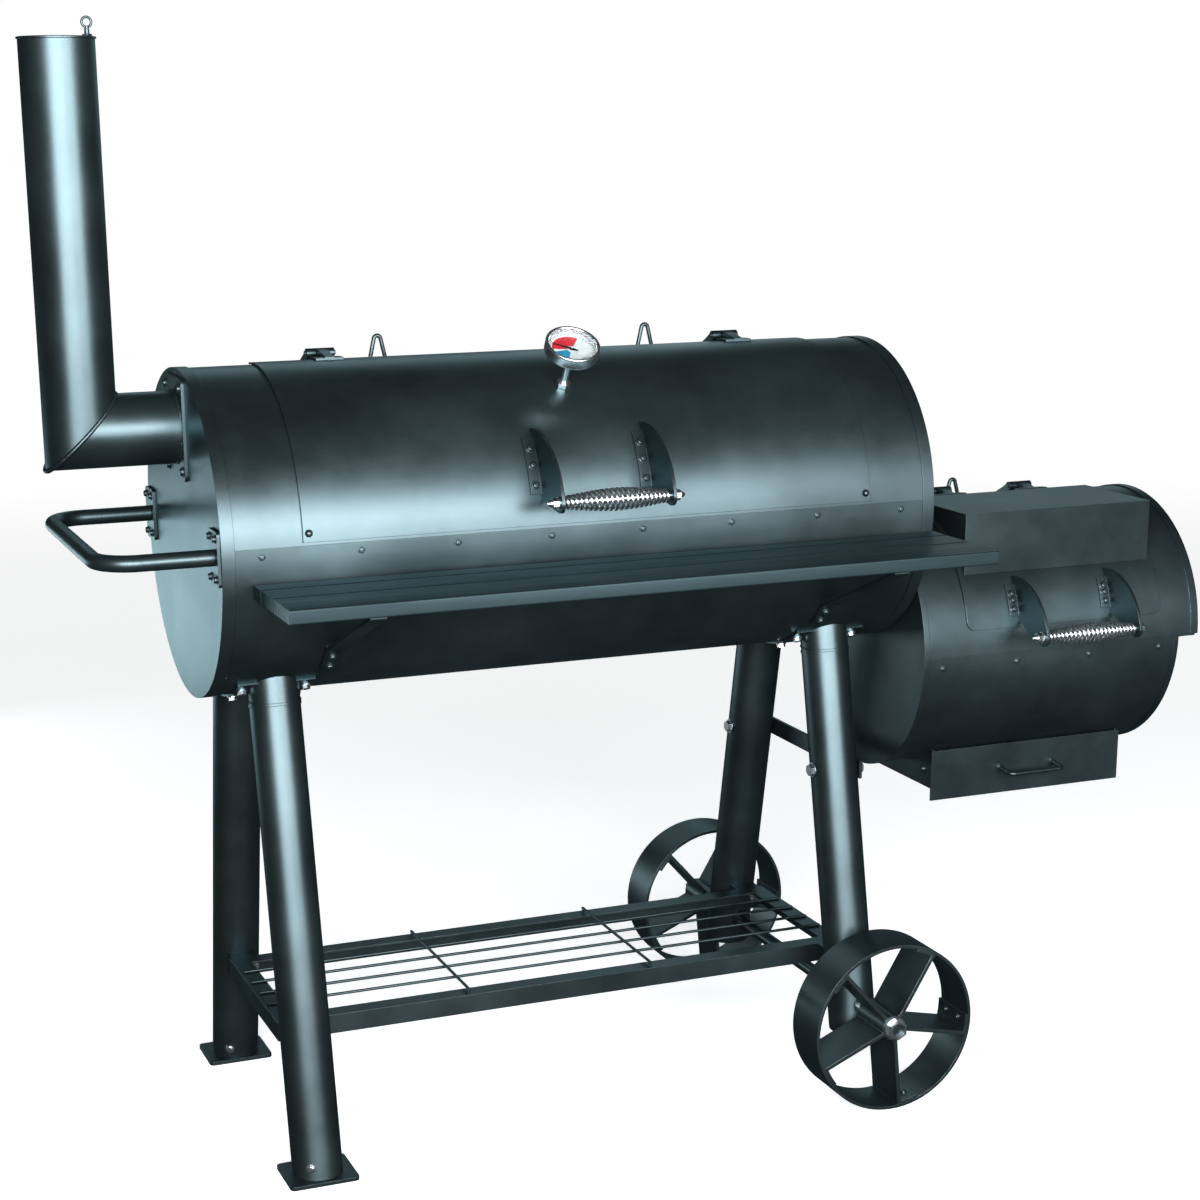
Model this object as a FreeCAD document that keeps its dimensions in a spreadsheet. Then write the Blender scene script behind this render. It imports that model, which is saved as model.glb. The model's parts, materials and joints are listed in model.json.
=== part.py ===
import FreeCAD, Part
import math
import os
import Sketcher

# Offset smoker: a horizontal barrel on four splayed legs, two of them on an axle with spoked wheels, and a lower
# firebox on the right end. Sizes are millimetres. +X runs along the barrel towards the firebox, -Y is the front,
# +Z is up and Z = 0 is the ground. Angles round a shell are measured from its front (-Y) upwards.

Vector = FreeCAD.Vector
Rotation = FreeCAD.Rotation
Placement = FreeCAD.Placement

SIZES = (
    # barrel
    ("axis_z", 781.0), ("barrel_r", 202.0), ("sheet_t", 3.0), ("barrel_len", 941.0), ("cap_t", 3.0),
    ("lip_t", 1.5), ("lip_len", 16.0), ("seam_rise", 10.0), ("lap_w", 30.0),
    # main lid
    ("lid_x", 98.0), ("lid_len", 749.0), ("lid_low_deg", 4.0), ("lid_high_deg", 97.0), ("lid_t", 2.5),
    ("lid_fit", 0.4), ("lid_lap", 14.0),
    # hinges
    ("hinge_inset", 95.0), ("hinge_len", 36.0), ("knuckle_r", 6.0), ("pin_r", 3.0), ("pin_lift", 11.5),
    ("pin_setback", 38.0), ("pin_fit", 0.05), ("knuckle_fit", 0.5),
    # lid stops
    ("stop_y", 92.0), ("stop_top", 59.0), ("stop_spread", 30.0), ("stop_rod_r", 2.75), ("stop_inset", 187.0),
    # spring handles
    ("grip_reach", 57.0), ("grip_span", 145.0), ("fin_t", 4.0), ("grip_rod_r", 4.0), ("coil_wire_r", 2.0),
    ("coil_end_r", 6.6), ("coil_mid_r", 12.2), ("coil_turns", 22.0), ("fin_eye_r", 12.5), ("fin_bulge", 55.0),
    # thermometer
    ("dial_deg", 56.6), ("dial_x", 461.0), ("dial_r", 34.0), ("dial_stand", 50.0), ("case_depth", 14.0),
    ("probe_len", 60.0), ("stem_r", 5.0), ("needle_fit", 0.5),
    # chimney
    ("chimney_x", 118.0), ("chimney_r", 44.25), ("chimney_wall", 2.5), ("chimney_axis", 132.0),
    ("chimney_top", 1365.0), ("flange_w", 96.0), ("flange_h", 124.0), ("flange_t", 4.0), ("bead_r", 2.6),
    ("cap_over", 1.5), ("damper_plate_t", 2.5), ("eye_offset", 36.0),
    # push handle
    ("push_r", 10.0), ("push_reach", 136.0), ("push_half", 178.0), ("push_bend", 45.0), ("pad_w", 44.0),
    ("pad_h", 66.0), ("pad_t", 4.0),
    # shelf
    ("shelf_z", 750.0), ("shelf_t", 17.0), ("shelf_x", 36.0), ("shelf_len", 904.0), ("shelf_back", 205.0),
    ("slat_front", 70.0), ("slat_mid", 52.0), ("slat_rear", 32.0), ("slat_gap", 3.0), ("strut_w", 20.0),
    ("strut_t", 4.0), ("strut_low_deg", 37.0), ("strut_foot_deg", 50.0),
    # legs
    ("leg_r", 31.75), ("leg_wall", 2.5), ("leg_x", 83.0), ("leg_pitch", 760.0), ("leg_foot_y", 215.0),
    ("leg_splay", 0.205), ("saddle_t", 3.0), ("saddle_w", 98.0), ("stub_len", 16.0), ("foot_x", 88.0),
    ("foot_y", 76.0), ("foot_t", 5.0), ("spigot_h", 32.0), ("spigot_fit", 0.3), ("short_leg_z", 74.0),
    # brace and rack
    ("brace_z", 419.0), ("brace_h", 24.0), ("brace_t", 4.0), ("brace_half", 143.0), ("rack_z", 173.0),
    ("rack_half", 128.0), ("rack_out", 22.0), ("angle_w", 25.0), ("angle_t", 3.0), ("wire_r", 2.0),
    ("wire_pitch", 42.0), ("cross_pitch", 258.0),
    # wheels
    ("wheel_r", 114.3), ("wheel_w", 69.0), ("wheel_out", 314.0), ("rim_t", 4.0), ("weld_gap", 0.1), ("spoke_t", 5.0),
    ("hub_r", 17.0), ("axle_r", 9.0), ("axle_fit", 0.06), ("spoke_phase", 59.5),
    # firebox
    ("fb_z", 572.0), ("fb_r", 181.0), ("fb_gap", 6.0), ("fb_len", 434.0), ("fb_step", 31.0),
    ("fb_lip_left", 8.0), ("fb_lip_right", 12.0), ("fb_lid_x", 66.0), ("fb_lid_len", 306.0),
    ("fb_lid_low_deg", 10.5), ("fb_pin_setback", 55.0), ("fb_hinge_inset", 87.0), ("fb_lid_corner", 14.0),
    ("fb_stop_y", 92.0), ("fb_stop_top", 50.0), ("hood_inset", 8.0), ("hood_front", 152.0), ("hood_t", 2.5), ("hood_back", 5.0), ("hood_rise", 60.0),
    ("pass_w", 140.0), ("pass_h", 96.0), ("pass_z", 665.0), ("gasket_w", 180.0), ("gasket_h", 118.0),
    # ash drawer
    ("house_x", 64.5), ("house_len", 300.0), ("house_half", 102.0), ("house_t", 2.5), ("house_z", 366.0),
    ("drawer_gap", 1.5), ("drawer_h", 20.0), ("front_over", 2.5), ("front_low", 16.0), ("front_top", 421.0),
    ("pull_half", 42.5), ("pull_out", 30.0), ("pull_wire", 3.0),
    # grates and air damper
    ("grate_drop", 22.0), ("rail_w", 24.0), ("grate_stack", 11.0), ("grate_bar_r", 3.0), ("grate_pitch", 18.0), ("grate_rod_r", 2.5), ("coal_drop", 95.0), ("coal_pitch", 20.0),
    ("coal_rod_r", 4.0), ("air_r", 52.0), ("air_z", 478.0), ("air_hole_r", 13.0),
    # fasteners
    ("small_head_r", 5.0), ("small_head_h", 3.2), ("seam_head_r", 3.4), ("seam_head_h", 1.6), ("big_head_r", 8.0),
    ("big_head_h", 5.0), ("cap_bolt_inset", 48.0), ("firebox_bolt_inset", 30.0),
)

os.makedirs("parts", exist_ok=True)
doc = FreeCAD.newDocument("smoker")
sheet = doc.addObject("Spreadsheet::Sheet", "Sizes")
for row, (alias, size) in enumerate(SIZES, start=1):
    sheet.set("A%d" % row, alias)
    sheet.set("B%d" % row, str(size))
    sheet.setAlias("B%d" % row, alias)
doc.recompute()


class Values:
    """Reads a size from the sheet by its name."""

    def __getattr__(self, name):
        return float(sheet.get(name))


v = Values()

# Places that follow from the sizes.
barrel_low_x = -(v.fb_gap + v.fb_len + v.barrel_len - v.chimney_x - v.chimney_r - v.bead_r) / 2
axle_tip = v.wheel_out + 11.0
shelf_front = v.shelf_back + v.slat_front + v.slat_mid + v.slat_rear + 2 * v.slat_gap
mid_y = (shelf_front - axle_tip) / 2
fb_x = v.barrel_len + v.fb_gap
lid_r = v.barrel_r + v.lid_fit + v.lid_t
fb_lid_r = v.fb_r + v.lid_fit + v.lid_t
nodes = []


def world(x, y, z):
    """A point given from the barrel's left face and axis plane, in the part's own frame."""
    return Vector(x + barrel_low_x, y + mid_y, z)


def spot(x, y, z, rotation=None):
    return Placement(world(x, y, z), rotation or Rotation())


def words(expression):
    """Puts the sheet's name before each size in an expression."""
    out = []
    for piece in expression.replace("(", " ( ").replace(")", " ) ").split():
        out.append("Sizes." + piece if piece[0].isalpha() else piece)
    return " ".join(out)


def bind(thing, **sizes):
    for name, expression in sizes.items():
        thing.setExpression(name, words(expression))


def keep(thing, label):
    """Marks an object as one sub-part."""
    thing.Label = label
    nodes.append(thing)
    return thing


def cylinder(name, radius, height, angle=None):
    thing = doc.addObject("Part::Cylinder", name)
    bind(thing, Radius=radius, Height=height)
    if angle is not None:
        thing.Angle = angle
    return thing


def box(name, length, width, height):
    thing = doc.addObject("Part::Box", name)
    bind(thing, Length=length, Width=width, Height=height)
    return thing


def cut(name, base, tool):
    thing = doc.addObject("Part::Cut", name)
    thing.Base = base
    thing.Tool = tool
    return thing


def fuse(name, things):
    thing = doc.addObject("Part::MultiFuse", name)
    thing.Shapes = things
    return thing


def group(name, things):
    thing = doc.addObject("Part::Compound", name)
    thing.Links = things
    return thing


def solid(name, shape, placement=None):
    """A shape made by Part functions, as a document object."""
    thing = doc.addObject("Part::Feature", name)
    thing.Shape = shape
    thing.Placement = placement or Placement()
    return thing


def around(low_deg):
    """Turns local Z to -X and local X to the direction at an angle round a shell."""
    a = math.radians(low_deg)
    return Rotation(Vector(0, -math.cos(a), math.sin(a)), Vector(0, math.sin(a), math.cos(a)), Vector(-1, 0, 0), "ZXY")


def radial(deg, radius, axis_z):
    """The point (y, z) at an angle and radius round a shell's axis."""
    a = math.radians(deg)
    return -radius * math.cos(a), axis_z + radius * math.sin(a)


ALONG_X = Rotation(Vector(0, 1, 0), 90)
ALONG_Y = Rotation(Vector(1, 0, 0), -90)


# ---------------------------------------------------------------- shells

def shell_sector(name, radius, wall, length, low_deg, high_deg):
    """Part of a tube whose axis runs from the local origin along local Z."""
    outer = cylinder(name + "_outer", radius, length, high_deg - low_deg)
    bore = cylinder(name + "_bore", radius + " - " + wall, length + " + 20")
    bore.Placement = Placement(Vector(0, 0, -10), Rotation())
    return cut(name, outer, bore)


def barrel_shells():
    seam = math.degrees(math.asin(v.seam_rise / v.barrel_r))
    length = "barrel_len - 2 * cap_t"
    lower = shell_sector("barrel_lower_shell", "barrel_r", "sheet_t", length, -180 - seam, seam)
    lower.Placement = spot(v.barrel_len - v.cap_t, 0, v.axis_z, around(-180 - seam))
    keep(lower, "barrel_lower_shell")
    whole = shell_sector("upper_blank", "barrel_r", "sheet_t", length, seam, 180 - seam)
    door = cylinder("lid_opening", "barrel_r + 20", "lid_len - 2 * lid_lap", v.lid_high_deg - v.lid_low_deg - 8)
    turn = Rotation(Vector(0, 0, 1), v.lid_low_deg + 4 - seam)
    right_margin = v.barrel_len - v.cap_t - v.lid_x - v.lid_len + v.lid_lap
    door.Placement = Placement(Vector(0, 0, right_margin), turn)
    upper = cut("barrel_upper_shell", whole, door)
    upper.Placement = spot(v.barrel_len - v.cap_t, 0, v.axis_z, around(seam))
    keep(upper, "barrel_upper_shell")


def lap_strips():
    """Curved strips that join the barrel's half shells from inside, and the rails that carry the grates."""
    seam = math.degrees(math.asin(v.seam_rise / v.barrel_r))
    half = math.degrees(v.lap_w / 2 / v.barrel_r)
    pieces = []
    for name, mid in (("front_lap", seam), ("rear_lap", 180 - seam)):
        piece = shell_sector(name, "barrel_r - sheet_t", "sheet_t", "barrel_len - 2 * cap_t - 10", 0, 2 * half)
        piece.Placement = Placement(Vector(v.barrel_len - v.cap_t - 5, 0, 0), around(mid - half))
        pieces.append(piece)
    reach = math.sqrt((v.barrel_r - v.sheet_t) ** 2 - v.grate_drop ** 2)
    bore = cylinder("rail_bore", "barrel_r - sheet_t", "barrel_len")
    bore.Placement = Placement(Vector(0, 0, 0), ALONG_X)
    for side in (-1, 1):
        rail = box("rail_%d" % (side + 2), "barrel_len - 60", "rail_w", "sheet_t")
        low = reach - v.rail_w + 2 if side > 0 else -reach - 2
        rail.Placement = Placement(Vector(30, low, -v.grate_drop - v.sheet_t - v.grate_stack), Rotation())
        trimmed = doc.addObject("Part::Common", "trimmed_rail_%d" % (side + 2))
        trimmed.Base = rail
        trimmed.Tool = bore
        pieces.append(trimmed)
    strips = group("barrel_inner_strips", pieces)
    strips.Placement = spot(0, 0, v.axis_z)
    keep(strips, "barrel_inner_strips")


def cup(name, radius, lip):
    """An end cap: a disc with a lip that goes over the shell, its outside at local Z = 0."""
    outer = cylinder(name + "_outer", radius + " + lip_t", lip)
    hollow = cylinder(name + "_hollow", radius, lip)
    hollow.Placement = Placement(Vector(0, 0, v.cap_t), Rotation())
    return cut(name + "_cup", outer, hollow)


def barrel_caps():
    left = cup("left", "barrel_r", "lip_len")
    smoke = cylinder("smoke_hole", "chimney_r - chimney_wall", "cap_t + 20")
    smoke.Placement = Placement(Vector(-v.chimney_axis, 0, -10), Rotation())
    left = cut("barrel_cap_left", left, smoke)
    left.Placement = spot(0, 0, v.axis_z, ALONG_X)
    keep(left, "barrel_cap_left")
    right = cup("right", "barrel_r", "lip_len")
    window = box("passage_window", "pass_h", "pass_w", "cap_t + 20")
    window.Placement = Placement(Vector(v.pass_z - v.axis_z - v.pass_h / 2, -v.pass_w / 2, -10), Rotation())
    right = cut("barrel_cap_right", right, window)
    right.Placement = spot(v.barrel_len, 0, v.axis_z, Rotation(Vector(0, 1, 0), -90))
    keep(right, "barrel_cap_right")


def firebox_shells():
    lower = shell_sector("fb_lower_blank", "fb_r", "sheet_t", "fb_len - fb_step - 2 * cap_t", -180, 0)
    lower.Placement = spot(fb_x + v.fb_len - v.fb_step - v.cap_t, 0, v.fb_z, around(-180))
    ash = box("ash_opening", "house_len - 40", "2 * house_half - 50", "100")
    ash.Placement = spot(fb_x + v.house_x + 20, 25 - v.house_half, v.fb_z - v.fb_r - 50)
    lower = cut("firebox_lower_shell", lower, ash)
    keep(lower, "firebox_lower_shell")
    whole = shell_sector("fb_upper_blank", "fb_r", "sheet_t", "fb_len - 2 * cap_t", 0, 180)
    high = fb_lid_high()
    door = cylinder("fb_opening", "fb_r + 20", "fb_lid_len - 2 * lid_lap", high - v.fb_lid_low_deg - 9)
    right_margin = v.fb_len - v.cap_t - v.fb_lid_x - v.fb_lid_len + v.lid_lap
    door.Placement = Placement(Vector(0, 0, right_margin), Rotation(Vector(0, 0, 1), v.fb_lid_low_deg + 5))
    upper = cut("firebox_upper_shell", whole, door)
    upper.Placement = spot(fb_x + v.fb_len - v.cap_t, 0, v.fb_z, around(0))
    keep(upper, "firebox_upper_shell")


def half_space(name, above):
    """A large box above or below local Z = 0, taken away to leave half of a cap."""
    thing = box(name, "4 * fb_r", "4 * fb_r", "2 * fb_r")
    thing.Placement = Placement(Vector(0, -2 * v.fb_r, 0.0 if above else -2 * v.fb_r), Rotation())
    return thing


def firebox_caps():
    left = cup("fb_left", "fb_r", "fb_lip_left")
    window = box("fb_window", "pass_h", "pass_w", "cap_t + 20")
    window.Placement = Placement(Vector(v.fb_z - v.pass_z - v.pass_h / 2, -v.pass_w / 2, -10), Rotation())
    left = cut("firebox_end_left", left, window)
    left.Placement = spot(fb_x, 0, v.fb_z, ALONG_X)
    keep(left, "firebox_end_left")

    upper = cup("fb_upper", "fb_r", "fb_lip_right")
    upper.Placement = Placement(Vector(v.fb_len, 0, 0), Rotation(Vector(0, 1, 0), -90))
    upper = cut("fb_upper_half", upper, half_space("fb_below", False))
    ledge = box("fb_ledge", "fb_step - cap_t", "2 * fb_r - 2", "sheet_t")
    ledge.Placement = Placement(Vector(v.fb_len - v.fb_step, 1 - v.fb_r, -v.sheet_t), Rotation())
    upper = group("firebox_end_right_upper", [upper, ledge])
    upper.Placement = spot(fb_x, 0, v.fb_z)
    keep(upper, "firebox_end_right_upper")

    lower = cup("fb_lower", "fb_r", "fb_lip_left")
    lower.Placement = Placement(Vector(v.fb_len - v.fb_step, 0, 0), Rotation(Vector(0, 1, 0), -90))
    lower = cut("fb_lower_half", lower, half_space("fb_above", True))
    holes = []
    for turn in (45, 135, 225, 315):
        a = math.radians(turn)
        reach = v.air_r * 0.58
        hole = cylinder("air_hole_%d" % turn, "air_hole_r", "cap_t + 20")
        place = Vector(v.fb_len - v.fb_step - 15, reach * math.cos(a), v.air_z - v.fb_z + reach * math.sin(a))
        hole.Placement = Placement(place, ALONG_X)
        holes.append(hole)
    pivot = cylinder("air_pivot_hole", "pin_r", "cap_t + 20")
    pivot.Placement = Placement(Vector(v.fb_len - v.fb_step - 15, 0, v.air_z - v.fb_z), ALONG_X)
    lower = cut("fb_lower_vented", lower, fuse("air_holes", holes + [pivot]))
    lower.Placement = spot(fb_x, 0, v.fb_z)
    keep(lower, "firebox_end_right_lower")


def passage_gasket():
    plate = box("gasket_plate", "fb_gap", "gasket_w", "gasket_h")
    plate.Placement = Placement(Vector(0, -v.gasket_w / 2, -v.gasket_h / 2), Rotation())
    hole = box("gasket_hole", "fb_gap + 20", "pass_w", "pass_h")
    hole.Placement = Placement(Vector(-10, -v.pass_w / 2, -v.pass_h / 2), Rotation())
    gasket = cut("passage_gasket", plate, hole)
    gasket.Placement = spot(v.barrel_len, 0, v.pass_z)
    keep(gasket, "passage_gasket")


# ---------------------------------------------------------------- lids

def fb_lid_high():
    """The angle of the firebox lid's upper edge, clear of its hinge pin."""
    return 90 + math.degrees(math.asin((v.fb_pin_setback - 11) / fb_lid_r))


def lid_panels():
    panel = shell_sector("lid_blank", "barrel_r + lid_fit + lid_t", "lid_t", "lid_len", v.lid_low_deg, v.lid_high_deg)
    panel.Placement = spot(v.lid_x + v.lid_len, 0, v.axis_z, around(v.lid_low_deg))
    y, z = radial(v.dial_deg, v.barrel_r - 20, v.axis_z)
    hole = cylinder("probe_hole", "stem_r", "60")
    hole.Placement = Placement(world(v.dial_x, y, z), radial_turn(v.dial_deg))
    keep(cut("lid_panel_cut", panel, hole), "lid_panel")

    high = fb_lid_high()
    panel = shell_sector("fb_lid_blank", "fb_r + lid_fit + lid_t", "lid_t", "fb_lid_len", v.fb_lid_low_deg, high)
    panel.Placement = spot(fb_x + v.fb_lid_x + v.fb_lid_len, 0, v.fb_z, around(v.fb_lid_low_deg))
    low = radial(v.fb_lid_low_deg, fb_lid_r, v.fb_z)[1]
    frame = PartBody("fb_lid_frame")
    frame.rounded_plate("XZ_Plane", "fb_lid_len", "600", "600", "fb_lid_corner")
    frame.thing.Placement = spot(fb_x + v.fb_lid_x + v.fb_lid_len / 2, 0, low - 0.5 + 300)
    rounded = doc.addObject("Part::Common", "firebox_lid_common")
    rounded.Base = panel
    rounded.Tool = frame.thing
    keep(rounded, "firebox_lid_panel")


def radial_turn(deg):
    """Turns local Z to point away from a shell's axis, with local X along +X."""
    a = math.radians(deg)
    out = Vector(0, -math.cos(a), math.sin(a))
    return Rotation(Vector(1, 0, 0), out.cross(Vector(1, 0, 0)), out, "ZXY")


class PartBody:
    """A PartDesign body drawn on one of its own origin planes."""

    def __init__(self, name):
        self.thing = doc.addObject("PartDesign::Body", name)
        self.name = name
        self.count = 0

    def sketch(self, role):
        self.count += 1
        drawing = self.thing.newObject("Sketcher::SketchObject", "%s_sketch_%d" % (self.name, self.count))
        plane = [item for item in self.thing.Origin.OriginFeatures if item.Role == role][0]
        drawing.AttachmentSupport = [(plane, "")]
        drawing.MapMode = "FlatFace"
        return drawing

    def rectangle(self, drawing, width, height):
        corners = [Vector(-10, -10, 0), Vector(10, -10, 0), Vector(10, 10, 0), Vector(-10, 10, 0)]
        first = drawing.GeometryCount
        lines = [Part.LineSegment(corners[i], corners[(i + 1) % 4]) for i in range(4)]
        drawing.addGeometry(lines, False)
        for i in range(4):
            add(drawing, "Coincident", first + i, 2, first + (i + 1) % 4, 1)
        for i, kind in enumerate(("Horizontal", "Vertical", "Horizontal", "Vertical")):
            add(drawing, kind, first + i)
        add(drawing, "Symmetric", first, 1, first + 2, 1, -1, 1)
        for line, kind, size in ((0, "DistanceX", width), (1, "DistanceY", height)):
            index = add(drawing, kind, first + line, 1, first + line, 2, 20.0)
            drawing.setExpression("Constraints[%d]" % index, words(size))

    def circle(self, drawing, radius, right, up):
        ring = Part.Circle(Vector(right, up, 0), Vector(0, 0, 1), 4.0)
        index = drawing.addGeometry(ring, False)
        number = add(drawing, "Radius", index, 4.0)
        drawing.setExpression("Constraints[%d]" % number, words(radius))
        add(drawing, "DistanceX", -1, 1, index, 3, right)
        add(drawing, "DistanceY", -1, 1, index, 3, up)

    def pad(self, drawing, length, middle=True):
        raised = self.thing.newObject("PartDesign::Pad", "%s_pad_%d" % (self.name, self.count))
        raised.Profile = drawing
        bind(raised, Length=length)
        if middle:
            if "SideType" in raised.PropertiesList:
                raised.SideType = "Symmetric"
            else:
                raised.Midplane = True
        doc.recompute()
        return raised

    def pocket_through(self, drawing):
        sunk = self.thing.newObject("PartDesign::Pocket", "%s_pocket_%d" % (self.name, self.count))
        sunk.Profile = drawing
        sunk.Type = "ThroughAll"
        if "SideType" in sunk.PropertiesList:
            sunk.SideType = "Symmetric"
        else:
            sunk.Midplane = True
        doc.recompute()
        return sunk

    def rounded_plate(self, role, width, height, thick, corner=None):
        """A flat plate centred on the body's origin, with its four corners rounded."""
        drawing = self.sketch(role)
        self.rectangle(drawing, width, height)
        raised = self.pad(drawing, thick)
        if corner is None:
            return raised
        normal = {"XY_Plane": Vector(0, 0, 1), "XZ_Plane": Vector(0, 1, 0), "YZ_Plane": Vector(1, 0, 0)}[role]
        names = []
        for number, edge in enumerate(raised.Shape.Edges, start=1):
            if abs(edge.tangentAt(edge.FirstParameter).dot(normal)) > 0.99:
                names.append("Edge%d" % number)
        soft = self.thing.newObject("PartDesign::Fillet", self.name + "_corners")
        soft.Base = (raised, names)
        bind(soft, Radius=corner)
        doc.recompute()
        return soft


def add(drawing, kind, *parts):
    return drawing.addConstraint(Sketcher.Constraint(kind, *parts))


def hood():
    """The square-fronted cover that stands on the firebox lid, open towards the hinge."""
    high = "fb_r + lid_fit + lid_t + hood_t - hood_rise"
    outer = box("hood_outer", "fb_lid_len - 2 * hood_inset", "hood_front + hood_back", high)
    inner = box("hood_inner", "fb_lid_len - 2 * hood_inset - 2 * hood_t", "hood_front + hood_back", high)
    inner.Placement = Placement(Vector(v.hood_t, v.hood_t, -v.hood_t), Rotation())
    walls = cut("hood_walls", outer, inner)
    walls.Placement = spot(fb_x + v.fb_lid_x + v.hood_inset, -v.hood_front, v.fb_z + v.hood_rise)
    drum = cylinder("hood_drum", "fb_r + lid_fit + lid_t", "fb_len")
    drum.Placement = spot(fb_x, 0, v.fb_z, ALONG_X)
    keep(cut("hood_cut", walls, drum), "firebox_hood")


# ---------------------------------------------------------------- hinges and lid stops

def profile_yz(points, x, thick):
    """A flat piece from a closed outline of (y, z) points, its low face at x."""
    wire = Part.makePolygon([Vector(x, y, z) for y, z in points + points[:1]])
    return Part.Face(wire).extrude(Vector(thick, 0, 0))


def rod(start, end, radius):
    axis = end - start
    return Part.makeCylinder(radius, axis.Length, start, axis)


def hinge(x_mid, axis_z, shell_r, panel_r, setback):
    """The fixed leaf with its pin, and the moving leaf, of one hinge."""
    pin_z = axis_z + math.sqrt(shell_r ** 2 - setback ** 2) + v.pin_lift
    low = x_mid - v.hinge_len / 2
    third = (v.hinge_len - 2 * v.knuckle_fit) / 3
    drum = Part.makeCylinder(shell_r, v.hinge_len + 40, Vector(low - 20, 0, axis_z), Vector(1, 0, 0))
    panel = Part.makeCylinder(panel_r, v.hinge_len + 40, Vector(low - 20, 0, axis_z), Vector(1, 0, 0))
    rear = [(setback, pin_z + 5), (setback, pin_z - 5), (setback + 3, pin_z - 20), (setback + 44, pin_z - 34)]
    rear += [(setback + 44, pin_z - 18), (setback + 16, pin_z - 4)]
    front = [(setback, pin_z + 5), (setback, pin_z - 5), (setback - 9, pin_z - 7), (setback - 12, pin_z - 12)]
    front += [(setback - 46, pin_z - 12), (setback - 46, pin_z - 1), (setback - 20, pin_z + 4)]
    fixed = []
    for start in (low, low + 2 * third + 2 * v.knuckle_fit):
        knuckle = Part.makeCylinder(v.knuckle_r, third, Vector(start, setback, pin_z), Vector(1, 0, 0))
        fixed.append(knuckle.fuse(profile_yz(rear, start, third)).cut(drum))
    spread = Part.makeCylinder(shell_r + v.sheet_t, v.hinge_len, Vector(low, 0, axis_z), Vector(1, 0, 0))
    spread = spread.cut(drum).common(Part.makeBox(v.hinge_len, 30, 400, Vector(low, setback + 16, axis_z)))
    pin = Part.makeCylinder(v.pin_r, v.hinge_len + 4, Vector(low - 2, setback, pin_z), Vector(1, 0, 0))
    base = fixed[0].fuse(fixed[1]).fuse(spread).fuse(pin).removeSplitter()
    start = low + third + v.knuckle_fit
    middle = Part.makeCylinder(v.knuckle_r, third, Vector(start, setback, pin_z), Vector(1, 0, 0))
    middle = middle.fuse(profile_yz(front, start, third)).cut(panel)
    strap = Part.makeCylinder(panel_r + v.sheet_t, v.hinge_len, Vector(low, 0, axis_z), Vector(1, 0, 0))
    strap = strap.cut(panel).common(Part.makeBox(v.hinge_len, 28, 400, Vector(low, setback - 46, axis_z)))
    bore = Part.makeCylinder(v.pin_r + v.pin_fit, 400, Vector(start - 100, setback, pin_z), Vector(1, 0, 0))
    leaf = middle.fuse(strap).cut(bore).removeSplitter()
    return base, leaf


def hinge_places():
    main = []
    for x in (v.lid_x + v.hinge_inset, v.lid_x + v.lid_len - v.hinge_inset):
        main.append(hinge(x, v.axis_z, v.barrel_r, lid_r, v.pin_setback))
    small = []
    left = fb_x + v.fb_lid_x
    for x in (left + v.fb_hinge_inset, left + v.fb_lid_len - v.fb_hinge_inset):
        small.append(hinge(x, v.fb_z, v.fb_r, fb_lid_r, v.fb_pin_setback))
    bases = Part.makeCompound([pair[0] for pair in main + small])
    keep(solid("hinge_bases", bases, spot(0, 0, 0)), "hinge_bases")
    leaves = Part.makeCompound([pair[1] for pair in main])
    keep(solid("lid_hinge_leaves", leaves, spot(0, 0, 0)), "lid_hinge_leaves")
    leaves = Part.makeCompound([pair[1] for pair in small])
    keep(solid("firebox_hinge_leaves", leaves, spot(0, 0, 0)), "firebox_hinge_leaves")


def bent_rod(points, radius, bend):
    """A round rod through points, with its corners bent to a radius."""
    edges = []
    start = points[0]
    for i in range(1, len(points) - 1):
        corner = points[i]
        into = (corner - points[i - 1]).normalize()
        out = (points[i + 1] - corner).normalize()
        half = math.acos(max(-1, min(1, into.dot(out)))) / 2
        reach = bend * math.tan(half)
        a = corner - into * reach
        b = corner + out * reach
        toward = (out - into).normalize()
        centre = corner + toward * (bend / math.cos(half))
        middle = centre - toward * bend
        edges.append(Part.makeLine(start, a))
        edges.append(Part.Arc(a, middle, b).toShape())
        start = b
    edges.append(Part.makeLine(start, points[-1]))
    path = Part.Wire(edges)
    ring = Part.Wire([Part.makeCircle(radius, points[0], points[1] - points[0])])
    return path.makePipeShell([ring], True, False)


def lid_stops():
    """Inverted V rods behind the hinges."""
    stops = []
    span = v.stop_spread / 2
    wide = v.lid_x + v.stop_inset
    places = [(wide, v.axis_z, v.barrel_r, v.stop_y, v.stop_top)]
    places.append((2 * v.lid_x + v.lid_len - wide, v.axis_z, v.barrel_r, v.stop_y, v.stop_top))
    small = fb_x + v.fb_lid_x + v.fb_lid_len / 2 - 22
    places.append((small, v.fb_z, v.fb_r, v.fb_stop_y, v.fb_stop_top))
    for x, axis_z, shell_r, y, height in places:
        foot = axis_z + math.sqrt(shell_r ** 2 - y ** 2)
        points = [Vector(x - span, y, foot - 6), Vector(x, y, foot + height), Vector(x + span, y, foot - 6)]
        shape = bent_rod(points, v.stop_rod_r, 4.5)
        drum = Part.makeCylinder(shell_r, 200, Vector(x - 100, 0, axis_z), Vector(1, 0, 0))
        stops.append(shape.cut(drum))
    keep(solid("lid_stops", Part.makeCompound(stops), spot(0, 0, 0)), "lid_stops")


# ---------------------------------------------------------------- spring handles

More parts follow.
